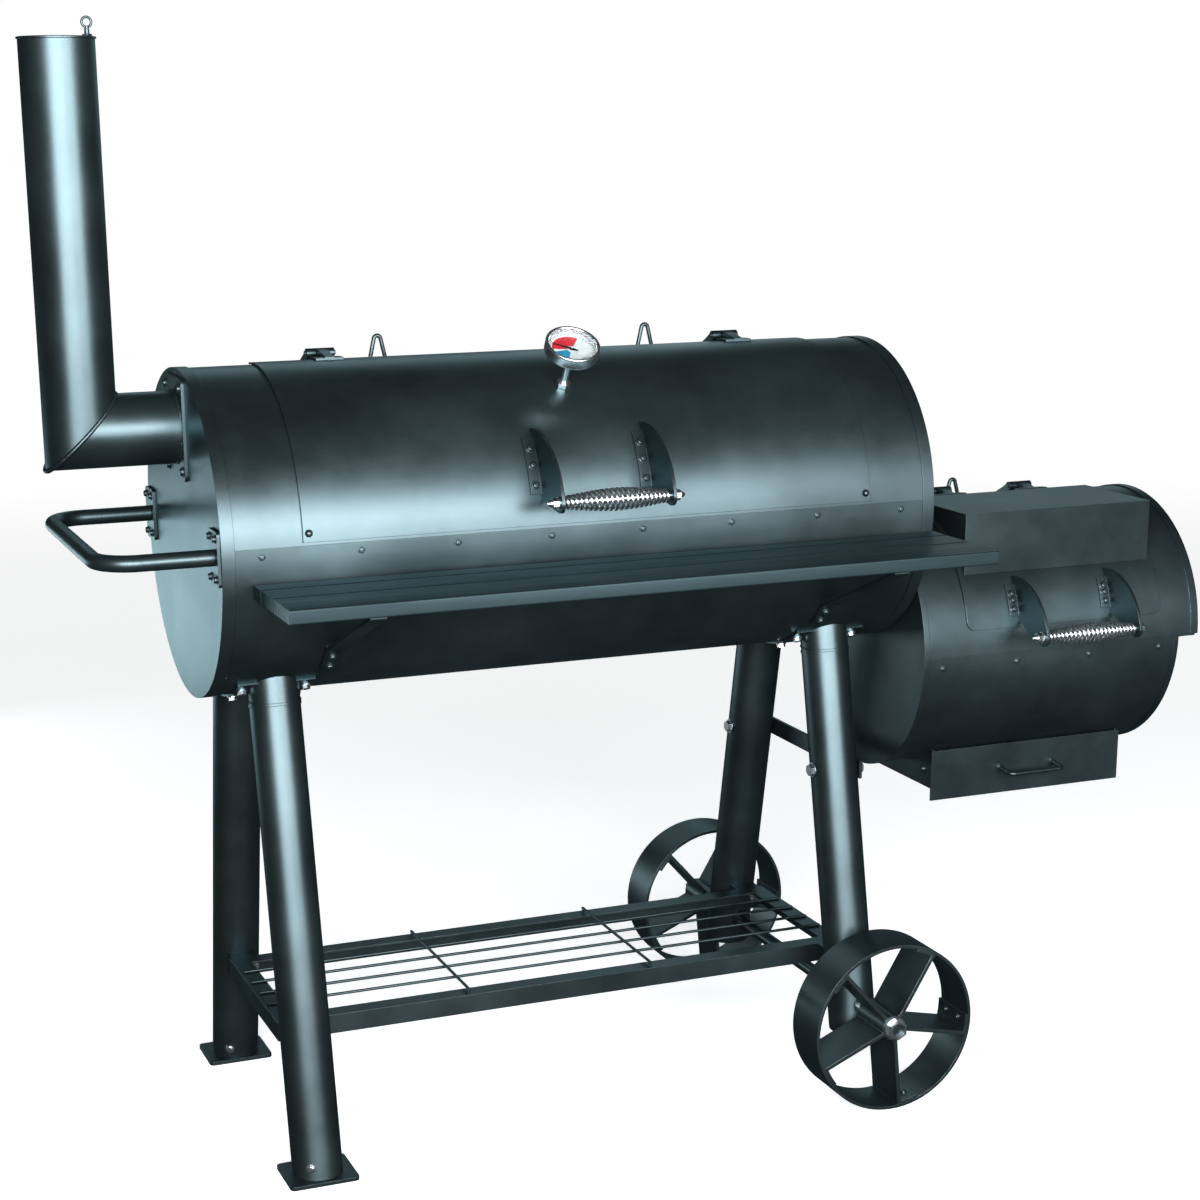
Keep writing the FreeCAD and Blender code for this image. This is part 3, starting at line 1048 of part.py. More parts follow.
def air_damper():
    """The turning disc over the firebox's air holes."""
    face = fb_x + v.fb_len - v.fb_step
    z = v.air_z
    way = Vector(1, 0, 0)
    disc = Part.makeCylinder(v.air_r, 2.0, Vector(face + 0.4, 0, z), way)
    for turn in (45, 135, 225, 315):
        a = math.radians(turn)
        reach = v.air_r * 0.58
        place = Vector(face - 5, reach * math.cos(a), z + reach * math.sin(a))
        disc = disc.cut(Part.makeCylinder(v.air_hole_r, 20, place, way))
    pin = Part.makeCylinder(v.pin_r - v.pin_fit, 16, Vector(face - 8, 0, z), way)
    knob = Part.makeCylinder(6.0, 4.0, Vector(face + 2.4, 0, z), way)
    tab = Part.makeBox(2.0, 12, 18, Vector(face + 0.4, -6, z + v.air_r - 4))
    grip = Part.makeCylinder(4.0, 10, Vector(face + 2.4, 0, z + v.air_r + 8), way)
    keep(solid("damper", disc.fuse([pin, knob, tab, grip]).removeSplitter(), spot(0, 0, 0)), "air_damper")


# ---------------------------------------------------------------- fasteners

def small_bolts():
    heads = []
    r, h = v.small_head_r, v.small_head_h

    def on_shell(x, deg, shell_r, axis_z, head_r, head_h):
        y, z = radial(deg, shell_r, axis_z)
        out = Vector(0, -math.cos(math.radians(deg)), math.sin(math.radians(deg)))
        heads.append(screw_head(Vector(x, y, z), out, head_r, head_h))

    for i in range(8):
        x = v.cap_bolt_inset + i * (v.barrel_len - 2 * v.cap_bolt_inset) / 7
        on_shell(x, 0.2, v.barrel_r, v.axis_z, v.seam_head_r, v.seam_head_h)
        on_shell(x, 179.8, v.barrel_r, v.axis_z, v.seam_head_r, v.seam_head_h)
    for x in shelf_support_x():
        for deg in (-41.5, -47.0):
            on_shell(x, deg, v.barrel_r + v.strut_t, v.axis_z, r, h)
    for x in shelf_support_x():
        for across in (-6, 6):
            for back in (62, 112):
                under = v.shelf_z - v.shelf_t - v.strut_t
                heads.append(screw_head(Vector(x + across, -shelf_front + back, under), Vector(0, 0, -1), r * 0.8, h))
    for y in (-38, 38):
        for z in (-50, 50):
            place = Vector(-v.flange_t, y, v.axis_z + v.chimney_axis + z)
            heads.append(screw_head(place, Vector(-1, 0, 0), r, h))
    for side in (-1, 1):
        for z in (-24, 24):
            for y in (-13, 13):
                place = Vector(-v.pad_t, side * v.push_half + y, v.axis_z + z)
                heads.append(screw_head(place, Vector(-1, 0, 0), r * 0.8, h))
    for side in (-1, 1):
        for y in (-78, 78):
            x = fb_x + v.house_x if side < 0 else fb_x + v.house_x + v.house_len
            heads.append(screw_head(Vector(x, y, v.house_z + 24), Vector(side, 0, 0), r, h))
    for i in range(4):
        x = fb_x + v.firebox_bolt_inset + i * (v.fb_len - 2 * v.firebox_bolt_inset - v.fb_step) / 3
        on_shell(x, -4.5, v.fb_r, v.fb_z, v.seam_head_r, v.seam_head_h)
        on_shell(x, 184.5, v.fb_r, v.fb_z, v.seam_head_r, v.seam_head_h)
    keep(solid("smalls", Part.makeCompound(heads), spot(0, 0, 0)), "small_bolts")


def frame_bolts():
    heads = []
    r, h = v.big_head_r, v.big_head_h
    far = v.leg_x + v.leg_pitch
    for x in (v.leg_x, far):
        for side in (-1, 1):
            for across in (-40.5, 40.5):
                for deg in (-63.0, -77.0):
                    y, z = radial(deg, v.barrel_r + v.saddle_t, v.axis_z)
                    out = Vector(0, -math.cos(math.radians(deg)), math.sin(math.radians(deg)))
                    if side > 0:
                        y, out = -y, Vector(0, -out.y, out.z)
                    heads.append(hex_bolt(Vector(x + across, y, z), out, r * 0.7, h * 0.8))
    for side in (-1, 1):
        y = leg_line(v.brace_z, side)
        heads.append(hex_bolt(Vector(far + v.leg_r + v.brace_t, y, v.brace_z), Vector(1, 0, 0), r, h))
        heads.append(hex_bolt(Vector(far - v.leg_r, y, v.brace_z + 4), Vector(-1, 0, 0), r, h))
        for x in (v.leg_x, far):
            place = Vector(x + 10, side * (v.rack_half - v.angle_t), v.rack_z - v.angle_w / 2 - 2)
            heads.append(hex_bolt(place, Vector(0, -side, 0), r * 0.8, h * 0.8))
        foot_z = 20.0
        y = leg_line(foot_z, side)
        angle = math.radians(242)
        out = Vector(math.cos(angle), math.sin(angle), 0)
        place = Vector(v.leg_x + out.x * v.leg_r, y + out.y * v.leg_r, foot_z)
        heads.append(screw_head(place, out, r * 0.6, h * 0.5).cut(tube_on_line(v.leg_x, side, 0, 60, v.leg_r)))
    keep(solid("bigs", Part.makeCompound(heads), spot(0, 0, 0)), "frame_bolts")


# ---------------------------------------------------------------- build

barrel_shells()
lap_strips()
barrel_caps()
firebox_shells()
firebox_caps()
passage_gasket()
lid_panels()
hood()
hinge_places()
lid_stops()
handle("lid", v.lid_x + v.lid_len / 2, v.axis_z, lid_r, 10.8, 38.3, 12.5)
handle("firebox", fb_x + v.fb_lid_x + v.fb_lid_len / 2, v.fb_z, fb_lid_r, 7.2, 32.5, 13.0)
thermometer()
chimney()
chimney_cap()
push_handle()
shelf()
shelf_supports()
legs()
leg_saddles()
foot_plates()
axle()
leg_brace()
rack()
wheel("wheel_front", -1)
wheel("wheel_rear", 1)
drawer()
grates()
air_damper()
small_bolts()
frame_bolts()
doc.recompute()

for thing in doc.Objects:
    if "Invalid" in thing.State or "Error" in thing.State:
        raise RuntimeError("bad object: " + thing.Name)
for thing in nodes:
    if thing.Shape.isNull() or not thing.Shape.isValid():
        raise RuntimeError("bad shape: " + thing.Label)
    thing.Shape.exportStep("parts/%s.step" % thing.Label)
whole = Part.makeCompound([thing.Shape for thing in nodes]).BoundBox
print(len(nodes), "nodes", whole)
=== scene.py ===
import json
import math

import bpy
from mathutils import Matrix, Vector, noise


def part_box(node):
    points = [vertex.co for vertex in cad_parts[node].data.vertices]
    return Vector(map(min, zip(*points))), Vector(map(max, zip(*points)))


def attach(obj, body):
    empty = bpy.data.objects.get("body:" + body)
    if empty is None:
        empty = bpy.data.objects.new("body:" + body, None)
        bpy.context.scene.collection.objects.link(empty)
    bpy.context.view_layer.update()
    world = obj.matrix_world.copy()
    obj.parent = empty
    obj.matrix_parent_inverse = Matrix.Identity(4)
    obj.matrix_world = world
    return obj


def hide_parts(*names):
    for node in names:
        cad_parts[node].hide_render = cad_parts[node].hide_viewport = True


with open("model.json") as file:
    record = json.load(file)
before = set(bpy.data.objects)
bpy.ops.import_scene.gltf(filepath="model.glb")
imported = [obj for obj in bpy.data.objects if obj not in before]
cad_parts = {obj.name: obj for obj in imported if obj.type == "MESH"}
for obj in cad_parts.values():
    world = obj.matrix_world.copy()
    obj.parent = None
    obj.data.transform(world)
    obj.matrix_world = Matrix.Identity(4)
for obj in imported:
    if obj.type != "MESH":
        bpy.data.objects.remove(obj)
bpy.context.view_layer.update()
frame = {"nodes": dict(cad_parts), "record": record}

# An offset smoker in a pale studio. Everything is in metres, in the model's own frame:
# +X runs along the barrel towards the firebox, -Y is the front and Z is up from the floor.

BODY = "smoker_body"
LID = "main_lid"
FIREBOX_LID = "firebox_lid"
MM = 0.001

barrel_low, barrel_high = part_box("barrel_cap_left")
AXIS_Y = (barrel_low.y + barrel_high.y) / 2
AXIS_Z = (barrel_low.z + barrel_high.z) / 2
LEFT_X = barrel_low.x
# Down to SPOKE_HALF these follow part.py's values, because the frame's boxes don't give them.
LID_R = 0.2049
PIPE_R = 0.04425
FOOT_Y = 0.215
LEG_SPLAY = 0.205
DIAL_TILT = math.radians(56.6)
SPOKES = 5
SPOKE_PHASE = 59.5
HUB_R = 17.2 * MM
SPOKE_HALF = 2.8 * MM
FLOOR_R = 6.0
FLOOR_GLOW = 0.62
ROOM_LIGHT = 0.05
PAINT_EDGE_TINT = (0.56, 0.70, 0.74)


# ---------------------------------------------------------------- node helpers

class Tree:
    """A new material's node tree, with short ways to add and join nodes."""

    def __init__(self, name):
        self.material = bpy.data.materials.new(name)
        self.material.use_nodes = True
        self.nodes = self.material.node_tree.nodes
        self.links = self.material.node_tree.links
        self.shader = self.nodes["Principled BSDF"]
        self.place = self.add("ShaderNodeTexCoord").outputs["Object"]

    def add(self, kind, **settings):
        node = self.nodes.new(kind)
        for key, value in settings.items():
            setattr(node, key, value)
        return node

    def join(self, output, socket):
        self.links.new(output, socket)

    def scaled(self, size):
        """The object's coordinates, stretched by a factor along each axis."""
        mapping = self.add("ShaderNodeMapping")
        mapping.inputs["Scale"].default_value = size
        self.join(self.place, mapping.inputs["Vector"])
        return mapping.outputs["Vector"]

    def noise(self, scale, detail=4.0, rough=0.55, stretch=(1, 1, 1)):
        node = self.add("ShaderNodeTexNoise")
        node.inputs["Scale"].default_value = scale
        node.inputs["Detail"].default_value = detail
        node.inputs["Roughness"].default_value = rough
        self.join(self.scaled(stretch), node.inputs["Vector"])
        return node.outputs["Fac"]

    def ramp(self, value, stops):
        node = self.add("ShaderNodeValToRGB")
        while len(node.color_ramp.elements) < len(stops):
            node.color_ramp.elements.new(0.5)
        for element, (position, colour) in zip(node.color_ramp.elements, stops):
            element.position = position
            element.color = (*colour, 1) if len(colour) == 3 else colour
        self.join(value, node.inputs["Fac"])
        return node.outputs["Color"]

    def span(self, value, low, high, to_low=0.0, to_high=1.0):
        node = self.add("ShaderNodeMapRange")
        node.inputs["From Min"].default_value = low
        node.inputs["From Max"].default_value = high
        node.inputs["To Min"].default_value = to_low
        node.inputs["To Max"].default_value = to_high
        self.join(value, node.inputs["Value"])
        return node.outputs["Result"]

    def math(self, operation, first, second=0.0):
        node = self.add("ShaderNodeMath", operation=operation)
        for socket, value in zip(node.inputs, (first, second)):
            if isinstance(value, (int, float)):
                socket.default_value = value
            else:
                self.join(value, socket)
        return node.outputs["Value"]

    def mix(self, amount, first, second):
        node = self.add("ShaderNodeMix", data_type="RGBA")
        self.join(amount, node.inputs["Factor"])
        for socket, value in ((node.inputs[6], first), (node.inputs[7], second)):
            if isinstance(value, tuple):
                socket.default_value = (*value, 1)
            else:
                self.join(value, socket)
        return node.outputs[2]

    def bump(self, height, strength, distance, under=None):
        node = self.add("ShaderNodeBump")
        node.inputs["Strength"].default_value = strength
        node.inputs["Distance"].default_value = distance
        self.join(height, node.inputs["Height"])
        if under is not None:
            self.join(under, node.inputs["Normal"])
        return node.outputs["Normal"]

    def rounding(self, radius):
        """Normals of softly rounded edges, and a mask that is white on those edges."""
        bevel = self.add("ShaderNodeBevel", samples=4)
        bevel.inputs["Radius"].default_value = radius
        geometry = self.add("ShaderNodeNewGeometry")
        dot = self.add("ShaderNodeVectorMath", operation="DOT_PRODUCT")
        self.join(bevel.outputs["Normal"], dot.inputs[0])
        self.join(geometry.outputs["Normal"], dot.inputs[1])
        return bevel.outputs["Normal"], self.span(dot.outputs["Value"], 0.985, 0.80)


# ---------------------------------------------------------------- materials

def black_paint(name, colour, rough, orange_peel, edge):
    """Satin heat-resistant paint: fine orange peel, slight cloudiness, and edges lightened in patches towards
    grey steel, partly rubbed wear and partly a painted edge highlight.
    """
    tree = Tree(name)
    cloud = tree.noise(6.0, 5.0, 0.6)
    grain = tree.noise(900.0, 2.0, 0.5)
    edge_patch_noise = tree.noise(60.0, 6.0, 0.7)
    dark = tuple(c * 0.78 for c in colour)
    light = tuple(min(1.0, c * 1.22) for c in colour)
    paint = tree.mix(tree.span(cloud, 0.35, 0.68), dark, light)
    normal, corner = tree.rounding(0.9 * MM)
    # Edges are mixed towards light grey steel in noisy patches: partly rubbed paint, partly a painted edge
    # highlight.
    edge_wear_and_highlight = tree.math("MULTIPLY", corner, tree.span(edge_patch_noise, 0.42, 0.62))
    edge_wear_and_highlight = tree.math("MULTIPLY", edge_wear_and_highlight, edge)
    paint = tree.mix(edge_wear_and_highlight, paint, (0.42, 0.45, 0.47))
    tree.join(paint, tree.shader.inputs["Base Color"])
    tree.shader.inputs["Metallic"].default_value = 0.93
    tree.shader.inputs["Specular Tint"].default_value = (*PAINT_EDGE_TINT, 1)
    uneven = tree.math("ADD", tree.span(cloud, 0.3, 0.7, rough - 0.04, rough + 0.05),
                       tree.span(grain, 0.3, 0.7, -0.03, 0.03))
    tree.join(uneven, tree.shader.inputs["Roughness"])
    peel = tree.bump(grain, orange_peel, 0.15 * MM, normal)
    tree.join(tree.bump(cloud, 0.10, 1.2 * MM, peel), tree.shader.inputs["Normal"])
    return tree.material


def painted_wood(name):
    """Slats under the same satin paint, with a long grain that shows through it, and a painted highlight that
    lightens all their edges.
    """
    tree = Tree(name)
    grain = tree.noise(150.0, 8.0, 0.62, (0.05, 1, 1))
    broad = tree.noise(26.0, 4.0, 0.5, (0.06, 1, 1))
    normal, corner = tree.rounding(1.2 * MM)
    stain = tree.mix(tree.span(broad, 0.3, 0.7), (0.020, 0.032, 0.036), (0.034, 0.054, 0.060))
    stain = tree.mix(tree.math("MULTIPLY", tree.span(grain, 0.55, 0.75), 0.5), stain, (0.013, 0.020, 0.023))
    # Painted highlight: every slat edge is lightened towards grey-teal, standing in for light caught on the
    # rounded edges.
    stain = tree.mix(tree.math("MULTIPLY", corner, 0.35), stain, (0.20, 0.25, 0.26))
    tree.join(stain, tree.shader.inputs["Base Color"])
    tree.shader.inputs["Metallic"].default_value = 0.7
    tree.shader.inputs["Specular Tint"].default_value = (*PAINT_EDGE_TINT, 1)
    tree.join(tree.span(grain, 0.3, 0.7, 0.36, 0.50), tree.shader.inputs["Roughness"])
    tree.join(tree.bump(grain, 0.20, 0.2 * MM, normal), tree.shader.inputs["Normal"])
    return tree.material


def metal(name, colour, rough, brushed=0.0, stain=None):
    """Bare or plated metal with fine marks in its roughness."""
    tree = Tree(name)
    fine = tree.noise(700.0, 3.0, 0.6, (1, 1, 1 + 6 * brushed))
    cloud = tree.noise(45.0, 5.0, 0.6)
    base = tree.mix(tree.span(cloud, 0.35, 0.7), tuple(c * 0.86 for c in colour), colour)
    if stain is not None:
        base = tree.mix(tree.span(tree.noise(120.0, 6.0, 0.7), 0.52, 0.70), base, stain)
    tree.join(base, tree.shader.inputs["Base Color"])
    tree.shader.inputs["Metallic"].default_value = 1.0
    tree.join(tree.span(fine, 0.3, 0.7, rough * 0.75, rough * 1.3), tree.shader.inputs["Roughness"])
    normal, _ = tree.rounding(0.4 * MM)
    tree.join(tree.bump(fine, 0.08 + 0.2 * brushed, 0.05 * MM, normal), tree.shader.inputs["Normal"])
    return tree.material


def dial_face(name):
    """A white printed dial: red and blue sectors on its left, a tick ring and a thin dark outer ring."""
    tree = Tree(name)
    low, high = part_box("thermometer_dial")
    centre = (low + high) / 2
    up = Vector((0, math.sin(DIAL_TILT), math.cos(DIAL_TILT)))
    moved = tree.add("ShaderNodeVectorMath", operation="SUBTRACT")
    tree.join(tree.place, moved.inputs[0])
    moved.inputs[1].default_value = centre
    sides = []
    for axis in (Vector((1, 0, 0)), up):
        dot = tree.add("ShaderNodeVectorMath", operation="DOT_PRODUCT")
        tree.join(moved.outputs["Vector"], dot.inputs[0])
        dot.inputs[1].default_value = axis
        sides.append(dot.outputs["Value"])
    angle = tree.math("DIVIDE", tree.math("ARCTAN2", sides[1], sides[0]), math.pi)
    squares = [tree.math("MULTIPLY", side, side) for side in sides]
    reach = tree.math("SQRT", tree.math("ADD", squares[0], squares[1]))
    paper = tree.mix(tree.span(tree.noise(300.0), 0.3, 0.7), (0.80, 0.81, 0.79), (0.90, 0.90, 0.88))

    def between(value, start, end):
        above = tree.math("GREATER_THAN", value, start)
        return tree.math("MULTIPLY", above, tree.math("LESS_THAN", value, end))

    inner = between(reach, 6 * MM, 24.5 * MM)
    red = tree.math("MULTIPLY", between(angle, 0.30, 0.97), inner)
    face = tree.mix(red, paper, (0.62, 0.02, 0.03))
    blue_part = tree.math("MULTIPLY", between(angle, -0.96, -0.66), inner)
    face = tree.mix(blue_part, face, (0.02, 0.26, 0.45))
    beat = tree.math("FRACT", tree.math("MULTIPLY", tree.math("ADD", angle, 1.0), 18.0))
    tick = tree.math("MULTIPLY", tree.math("LESS_THAN", beat, 0.14), between(reach, 25.5 * MM, 29 * MM))
    face = tree.mix(tick, face, (0.02, 0.02, 0.02))
    ring = between(reach, 29.2 * MM, 29.7 * MM)
    face = tree.mix(ring, face, (0.03, 0.03, 0.03))
    tree.join(face, tree.shader.inputs["Base Color"])
    tree.shader.inputs["Roughness"].default_value = 0.35
    tree.join(tree.bump(tree.noise(500.0), 0.05, 0.05 * MM), tree.shader.inputs["Normal"])
    return tree.material


def lens(name):
    tree = Tree(name)
    tree.shader.inputs["Base Color"].default_value = (0.97, 0.99, 1.0, 1)
    tree.shader.inputs["Transmission Weight"].default_value = 1.0
    tree.shader.inputs["IOR"].default_value = 1.12
    tree.join(tree.span(tree.noise(220.0), 0.45, 0.8, 0.01, 0.08), tree.shader.inputs["Roughness"])
    return tree.material


def packing(name):
    tree = Tree(name)
    fibre = tree.noise(420.0, 7.0, 0.7)
    tree.join(tree.ramp(fibre, ((0.3, (0.05, 0.05, 0.048)), (0.7, (0.19, 0.185, 0.17)))),
              tree.shader.inputs["Base Color"])
    tree.shader.inputs["Roughness"].default_value = 0.92
    tree.join(tree.bump(fibre, 0.6, 0.6 * MM), tree.shader.inputs["Normal"])
    return tree.material


def floor_finish(name):
    """Nearly white and softly lit, with a faint mottle; it turns transparent towards its rim."""
    tree = Tree(name)
    tree.join(tree.ramp(tree.noise(2.0, 5.0), ((0.3, (0.86, 0.865, 0.87)), (0.7, (0.90, 0.90, 0.90)))),
              tree.shader.inputs["Base Color"])
    tree.shader.inputs["Roughness"].default_value = 0.75
    tree.shader.inputs["Emission Color"].default_value = (1, 1, 1, 1)
    tree.shader.inputs["Emission Strength"].default_value = FLOOR_GLOW
    reach = tree.add("ShaderNodeVectorMath", operation="LENGTH")
    tree.join(tree.place, reach.inputs[0])
    clear = tree.span(reach.outputs["Value"], 0.25 * FLOOR_R, 0.95 * FLOOR_R, 1.0, 0.0)
    tree.join(clear, tree.shader.inputs["Alpha"])
    return tree.material


FINISHES = {
    "black_steel": black_paint("black_steel_paint", (0.077, 0.103, 0.112), 0.37, 0.16, 0.30),
    "black_frame": black_paint("black_frame_paint", (0.070, 0.092, 0.100), 0.37, 0.18, 0.45),
    "black_wood": painted_wood("black_wood_stain"),
    "bright_chrome": metal("bright_chrome_plate", (0.80, 0.82, 0.84), 0.27),
    "zinc_bolt": metal("zinc_plate", (0.58, 0.60, 0.63), 0.30, 0.3),
    "grate_steel": metal("grate_steel_rod", (0.36, 0.35, 0.34), 0.38, 0.6, (0.16, 0.11, 0.08)),
    "rack_wire": black_paint("rack_wire_paint", (0.055, 0.075, 0.08), 0.38, 0.2, 0.3),
    "dial_white": dial_face("dial_print"),
    "dial_glass": lens("dial_lens"),
    "needle_black": black_paint("needle_paint", (0.02, 0.02, 0.02), 0.45, 0.1, 0.1),
    "gasket_cord": packing("gasket_packing"),
}
FLOOR = floor_finish("studio_floor_finish")


# ---------------------------------------------------------------- mesh helpers

def piece(name, points, faces, body, slot, smooth=True):
    """A mesh piece with a slot's finish, riding on a body."""
    mesh = bpy.data.meshes.new(name)
    mesh.from_pydata([tuple(p) for p in points], [], faces)
    mesh.validate()
    for polygon in mesh.polygons:
        polygon.use_smooth = smooth
    thing = bpy.data.objects.new(name, mesh)
    bpy.context.scene.collection.objects.link(thing)
    mesh.materials.append(FINISHES[slot])
    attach(thing, body)
    return thing


def tube(path, radii, ring=12, closed=False):
    """Points and faces of a round tube along a path, with a radius at each point."""
    count = len(path)
    points, faces = [], []
    side = None
    for i in range(count):
        after = path[(i + 1) % count] if closed or i + 1 < count else path[i]
        before = path[i - 1] if closed or i > 0 else path[i]
        along = (after - before).normalized()
        if side is None:
            side = along.orthogonal().normalized()
        side = (side - along * side.dot(along)).normalized()
        other = along.cross(side)
        for j in range(ring):
            a = 2 * math.pi * j / ring
            points.append(path[i] + (side * math.cos(a) + other * math.sin(a)) * radii[i])
    for i in range(count if closed else count - 1):
        k = (i + 1) % count
        for j in range(ring):
            m = (j + 1) % ring
            faces.append((i * ring + j, i * ring + m, k * ring + m, k * ring + j))
    if not closed:
        faces.append(tuple(reversed(range(ring))))
        faces.append(tuple((count - 1) * ring + j for j in range(ring)))
    return points, faces


def weld(name, path, size, body, slot, closed=False, pitch=2.2 * MM):
    """A rippled weld bead along a path: the radius swells and shrinks with each puddle."""
    lengths = [0.0]
    for a, b in zip(path, path[1:]):
        lengths.append(lengths[-1] + (b - a).length)
    radii = []
    for point, run in zip(path, lengths):
        ripple = 0.5 + 0.5 * math.cos(2 * math.pi * run / pitch)
        wander = noise.noise(point * 160.0)
        radii.append(size * (0.86 + 0.16 * ripple + 0.16 * wander))
    points, faces = tube(path, radii, 10, closed)
    return piece(name, points, faces, body, slot)


def arc(centre, first, second, radius_first, radius_second, start, end, steps):
    """Points along an ellipse's arc, from its centre and two directions."""
    out = []
    for i in range(steps + 1):
        a = start + (end - start) * i / steps
        out.append(centre + first * (radius_first * math.cos(a)) + second * (radius_second * math.sin(a)))
    return out


# ---------------------------------------------------------------- carried-over nodes

def dress_nodes():
    """Gives each CAD node its finish, smooth curved faces and softly broken edges."""
    slots = {}
    for part in frame["record"]["subparts"]:
        slots[part["node"]] = part["material_slot"]
    for name, thing in frame["nodes"].items():
        thing.data.materials.clear()
        thing.data.materials.append(FINISHES[slots[name]])
        for polygon in thing.data.polygons:
            polygon.material_index = 0
            polygon.use_smooth = True
        join = thing.modifiers.new("join", "WELD")
        join.merge_threshold = 0.002 * MM
        split = thing.modifiers.new("split", "EDGE_SPLIT")
        split.split_angle = math.radians(32)


# ---------------------------------------------------------------- pieces

def spring_grip(name, node, body):
    """A chrome coil that swells at its middle, with closed end turns."""
    low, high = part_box(node)
    wire = 2.0 * MM
    centre = (low + high) / 2
    wide = (high.z - low.z) / 2 - wire
    slim = 6.6 * MM
    half = (high.x - low.x) / 2 - wire
    turns = 22
    per_turn = 30
    path = []
    for i in range(turns * per_turn + 1):
        s = i / (turns * per_turn)
        even = -math.cos(math.pi * s)
        along = 0.86 * (2 * s - 1) + 0.14 * even
        radius = slim + (wide - slim) * math.sin(math.pi * s) ** 1.5
        a = 2 * math.pi * turns * s
        path.append(centre + Vector((along * half, radius * math.cos(a), radius * math.sin(a))))
    points, faces = tube(path, [wire] * len(path), 10)
    coil = piece(name, points, faces, body, "bright_chrome")
    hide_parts(node)


def chimney_welds():
    """The mitre bead round the elbow, and short tack welds round its flange."""
    cap_low, cap_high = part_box("chimney_cap")
    x = (cap_low.x + cap_high.x) / 2
    flange_low, flange_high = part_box("chimney_flange")
    z = (flange_low.z + flange_high.z) / 2
    centre = Vector((x, AXIS_Y, z))
    across = Vector((0, 1, 0))
    rise = math.sqrt(2) * PIPE_R
    slant = Vector((-1, 0, -1)).normalized()
    path = arc(centre, slant, across, rise, PIPE_R, 0.0, 2 * math.pi * 0.999, 420)
    weld("chimney_mitre_bead", path, 2.9 * MM, BODY, "black_steel")
    start = Vector((flange_low.x - 0.6 * MM, AXIS_Y, z))
    for i in range(4):
        a = math.pi / 4 + i * math.pi / 2
        path = arc(start, across, Vector((0, 0, 1)), PIPE_R, PIPE_R, a - 0.45, a + 0.45, 60)
        weld("chimney_flange_tack_%d" % i, path, 2.0 * MM, BODY, "black_steel")


def leg_welds():
    """Beads where each leg meets the stub of its saddle."""
    for number, node in enumerate(("leg_left_front", "leg_left_rear", "leg_right_front", "leg_right_rear")):
        low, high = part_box(node)
        front = "front" in node
        radius = (high.x - low.x) / 2
        side = -1 if front else 1
        lift = 0.4 * MM
        lean = Vector((0, -side * LEG_SPLAY, 1)).normalized()
        along = Vector((1, 0, 0))
        y = AXIS_Y + side * (FOOT_Y - LEG_SPLAY * (high.z - lift))
        centre = Vector(((low.x + high.x) / 2, y, high.z))
        path = arc(centre, along, lean.cross(along), radius, radius, 0, 6.28, 260)
        level = [Vector((p.x, p.y, high.z + lift)) for p in path]
        weld("leg_bead_%d" % number, level, 1.3 * MM, BODY, "black_frame")


def spoke_welds():
    """Small fillets between the spokes and the hub of each wheel."""
    for name, body in (("wheel_front", "front_wheel"), ("wheel_rear", "rear_wheel")):
        low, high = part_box(name)
        centre = (low + high) / 2
        for i in range(SPOKES):
            a = math.radians(SPOKE_PHASE + 360 / SPOKES * i)
            out = Vector((math.cos(a), 0, math.sin(a)))
            side = Vector((-math.sin(a), 0, math.cos(a)))
            for way in (-1, 1):
                start = Vector((centre.x, low.y + 1 * MM, centre.z)) + out * HUB_R + side * (way * SPOKE_HALF)
                path = [start + Vector((0, k * 0.55 * MM, 0)) for k in range(122)]
                weld("%s_weld_%d_%d" % (name, i, way + 1), path, 1.6 * MM, body, "black_frame")


def lid_studs():
    """The small round studs at the lower corners of the barrel lid."""
    low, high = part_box("lid_panel")
    for number, x in enumerate((low.x + 7 * MM, high.x - 7 * MM)):
        a = math.radians(7.0)
        out = Vector((0, -math.cos(a), math.sin(a)))
        base = Vector((x, AXIS_Y, AXIS_Z)) + out * LID_R
        profile = ((0.0, 4.6), (1.0, 4.6), (1.6, 3.9), (3.4, 3.6), (4.4, 2.6), (4.8, 0.4))
        path = [base + out * (height * MM) for height, _ in profile]
        points, faces = tube(path, [r * MM for _, r in profile], 20)
        piece("lid_corner_stud_%d" % number, points, faces, LID, "black_frame")


def dial_bezel():
    """The rolled chrome rim round the dial."""
    low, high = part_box("thermometer_glass")
    centre = (low + high) / 2
    out = Vector((0, -math.cos(DIAL_TILT), math.sin(DIAL_TILT)))
    up = Vector((0, math.sin(DIAL_TILT), math.cos(DIAL_TILT)))
    side = Vector((1, 0, 0))
    rim_reach, rim_lift, rim_r = 32.4 * MM, 2.2 * MM, 2.1 * MM
    ring, steps = 14, 96
    profile = []
    for i in range(ring):
        a = 2 * math.pi * i / ring
        profile.append((rim_reach + rim_r * math.cos(a), rim_lift + rim_r * math.sin(a)))
    points, faces = [], []
    for k in range(steps):
        turn = 2 * math.pi * k / steps
        spoke = side * math.cos(turn) + up * math.sin(turn)
        for reach, lift in profile:
            points.append(centre + spoke * reach + out * lift)
    for k in range(steps):
        n = (k + 1) % steps
        for i in range(ring):
            j = (i + 1) % ring
            faces.append((k * ring + i, k * ring + j, n * ring + j, n * ring + i))
    piece("thermometer_bezel", points, faces, LID, "bright_chrome")


# ---------------------------------------------------------------- studio

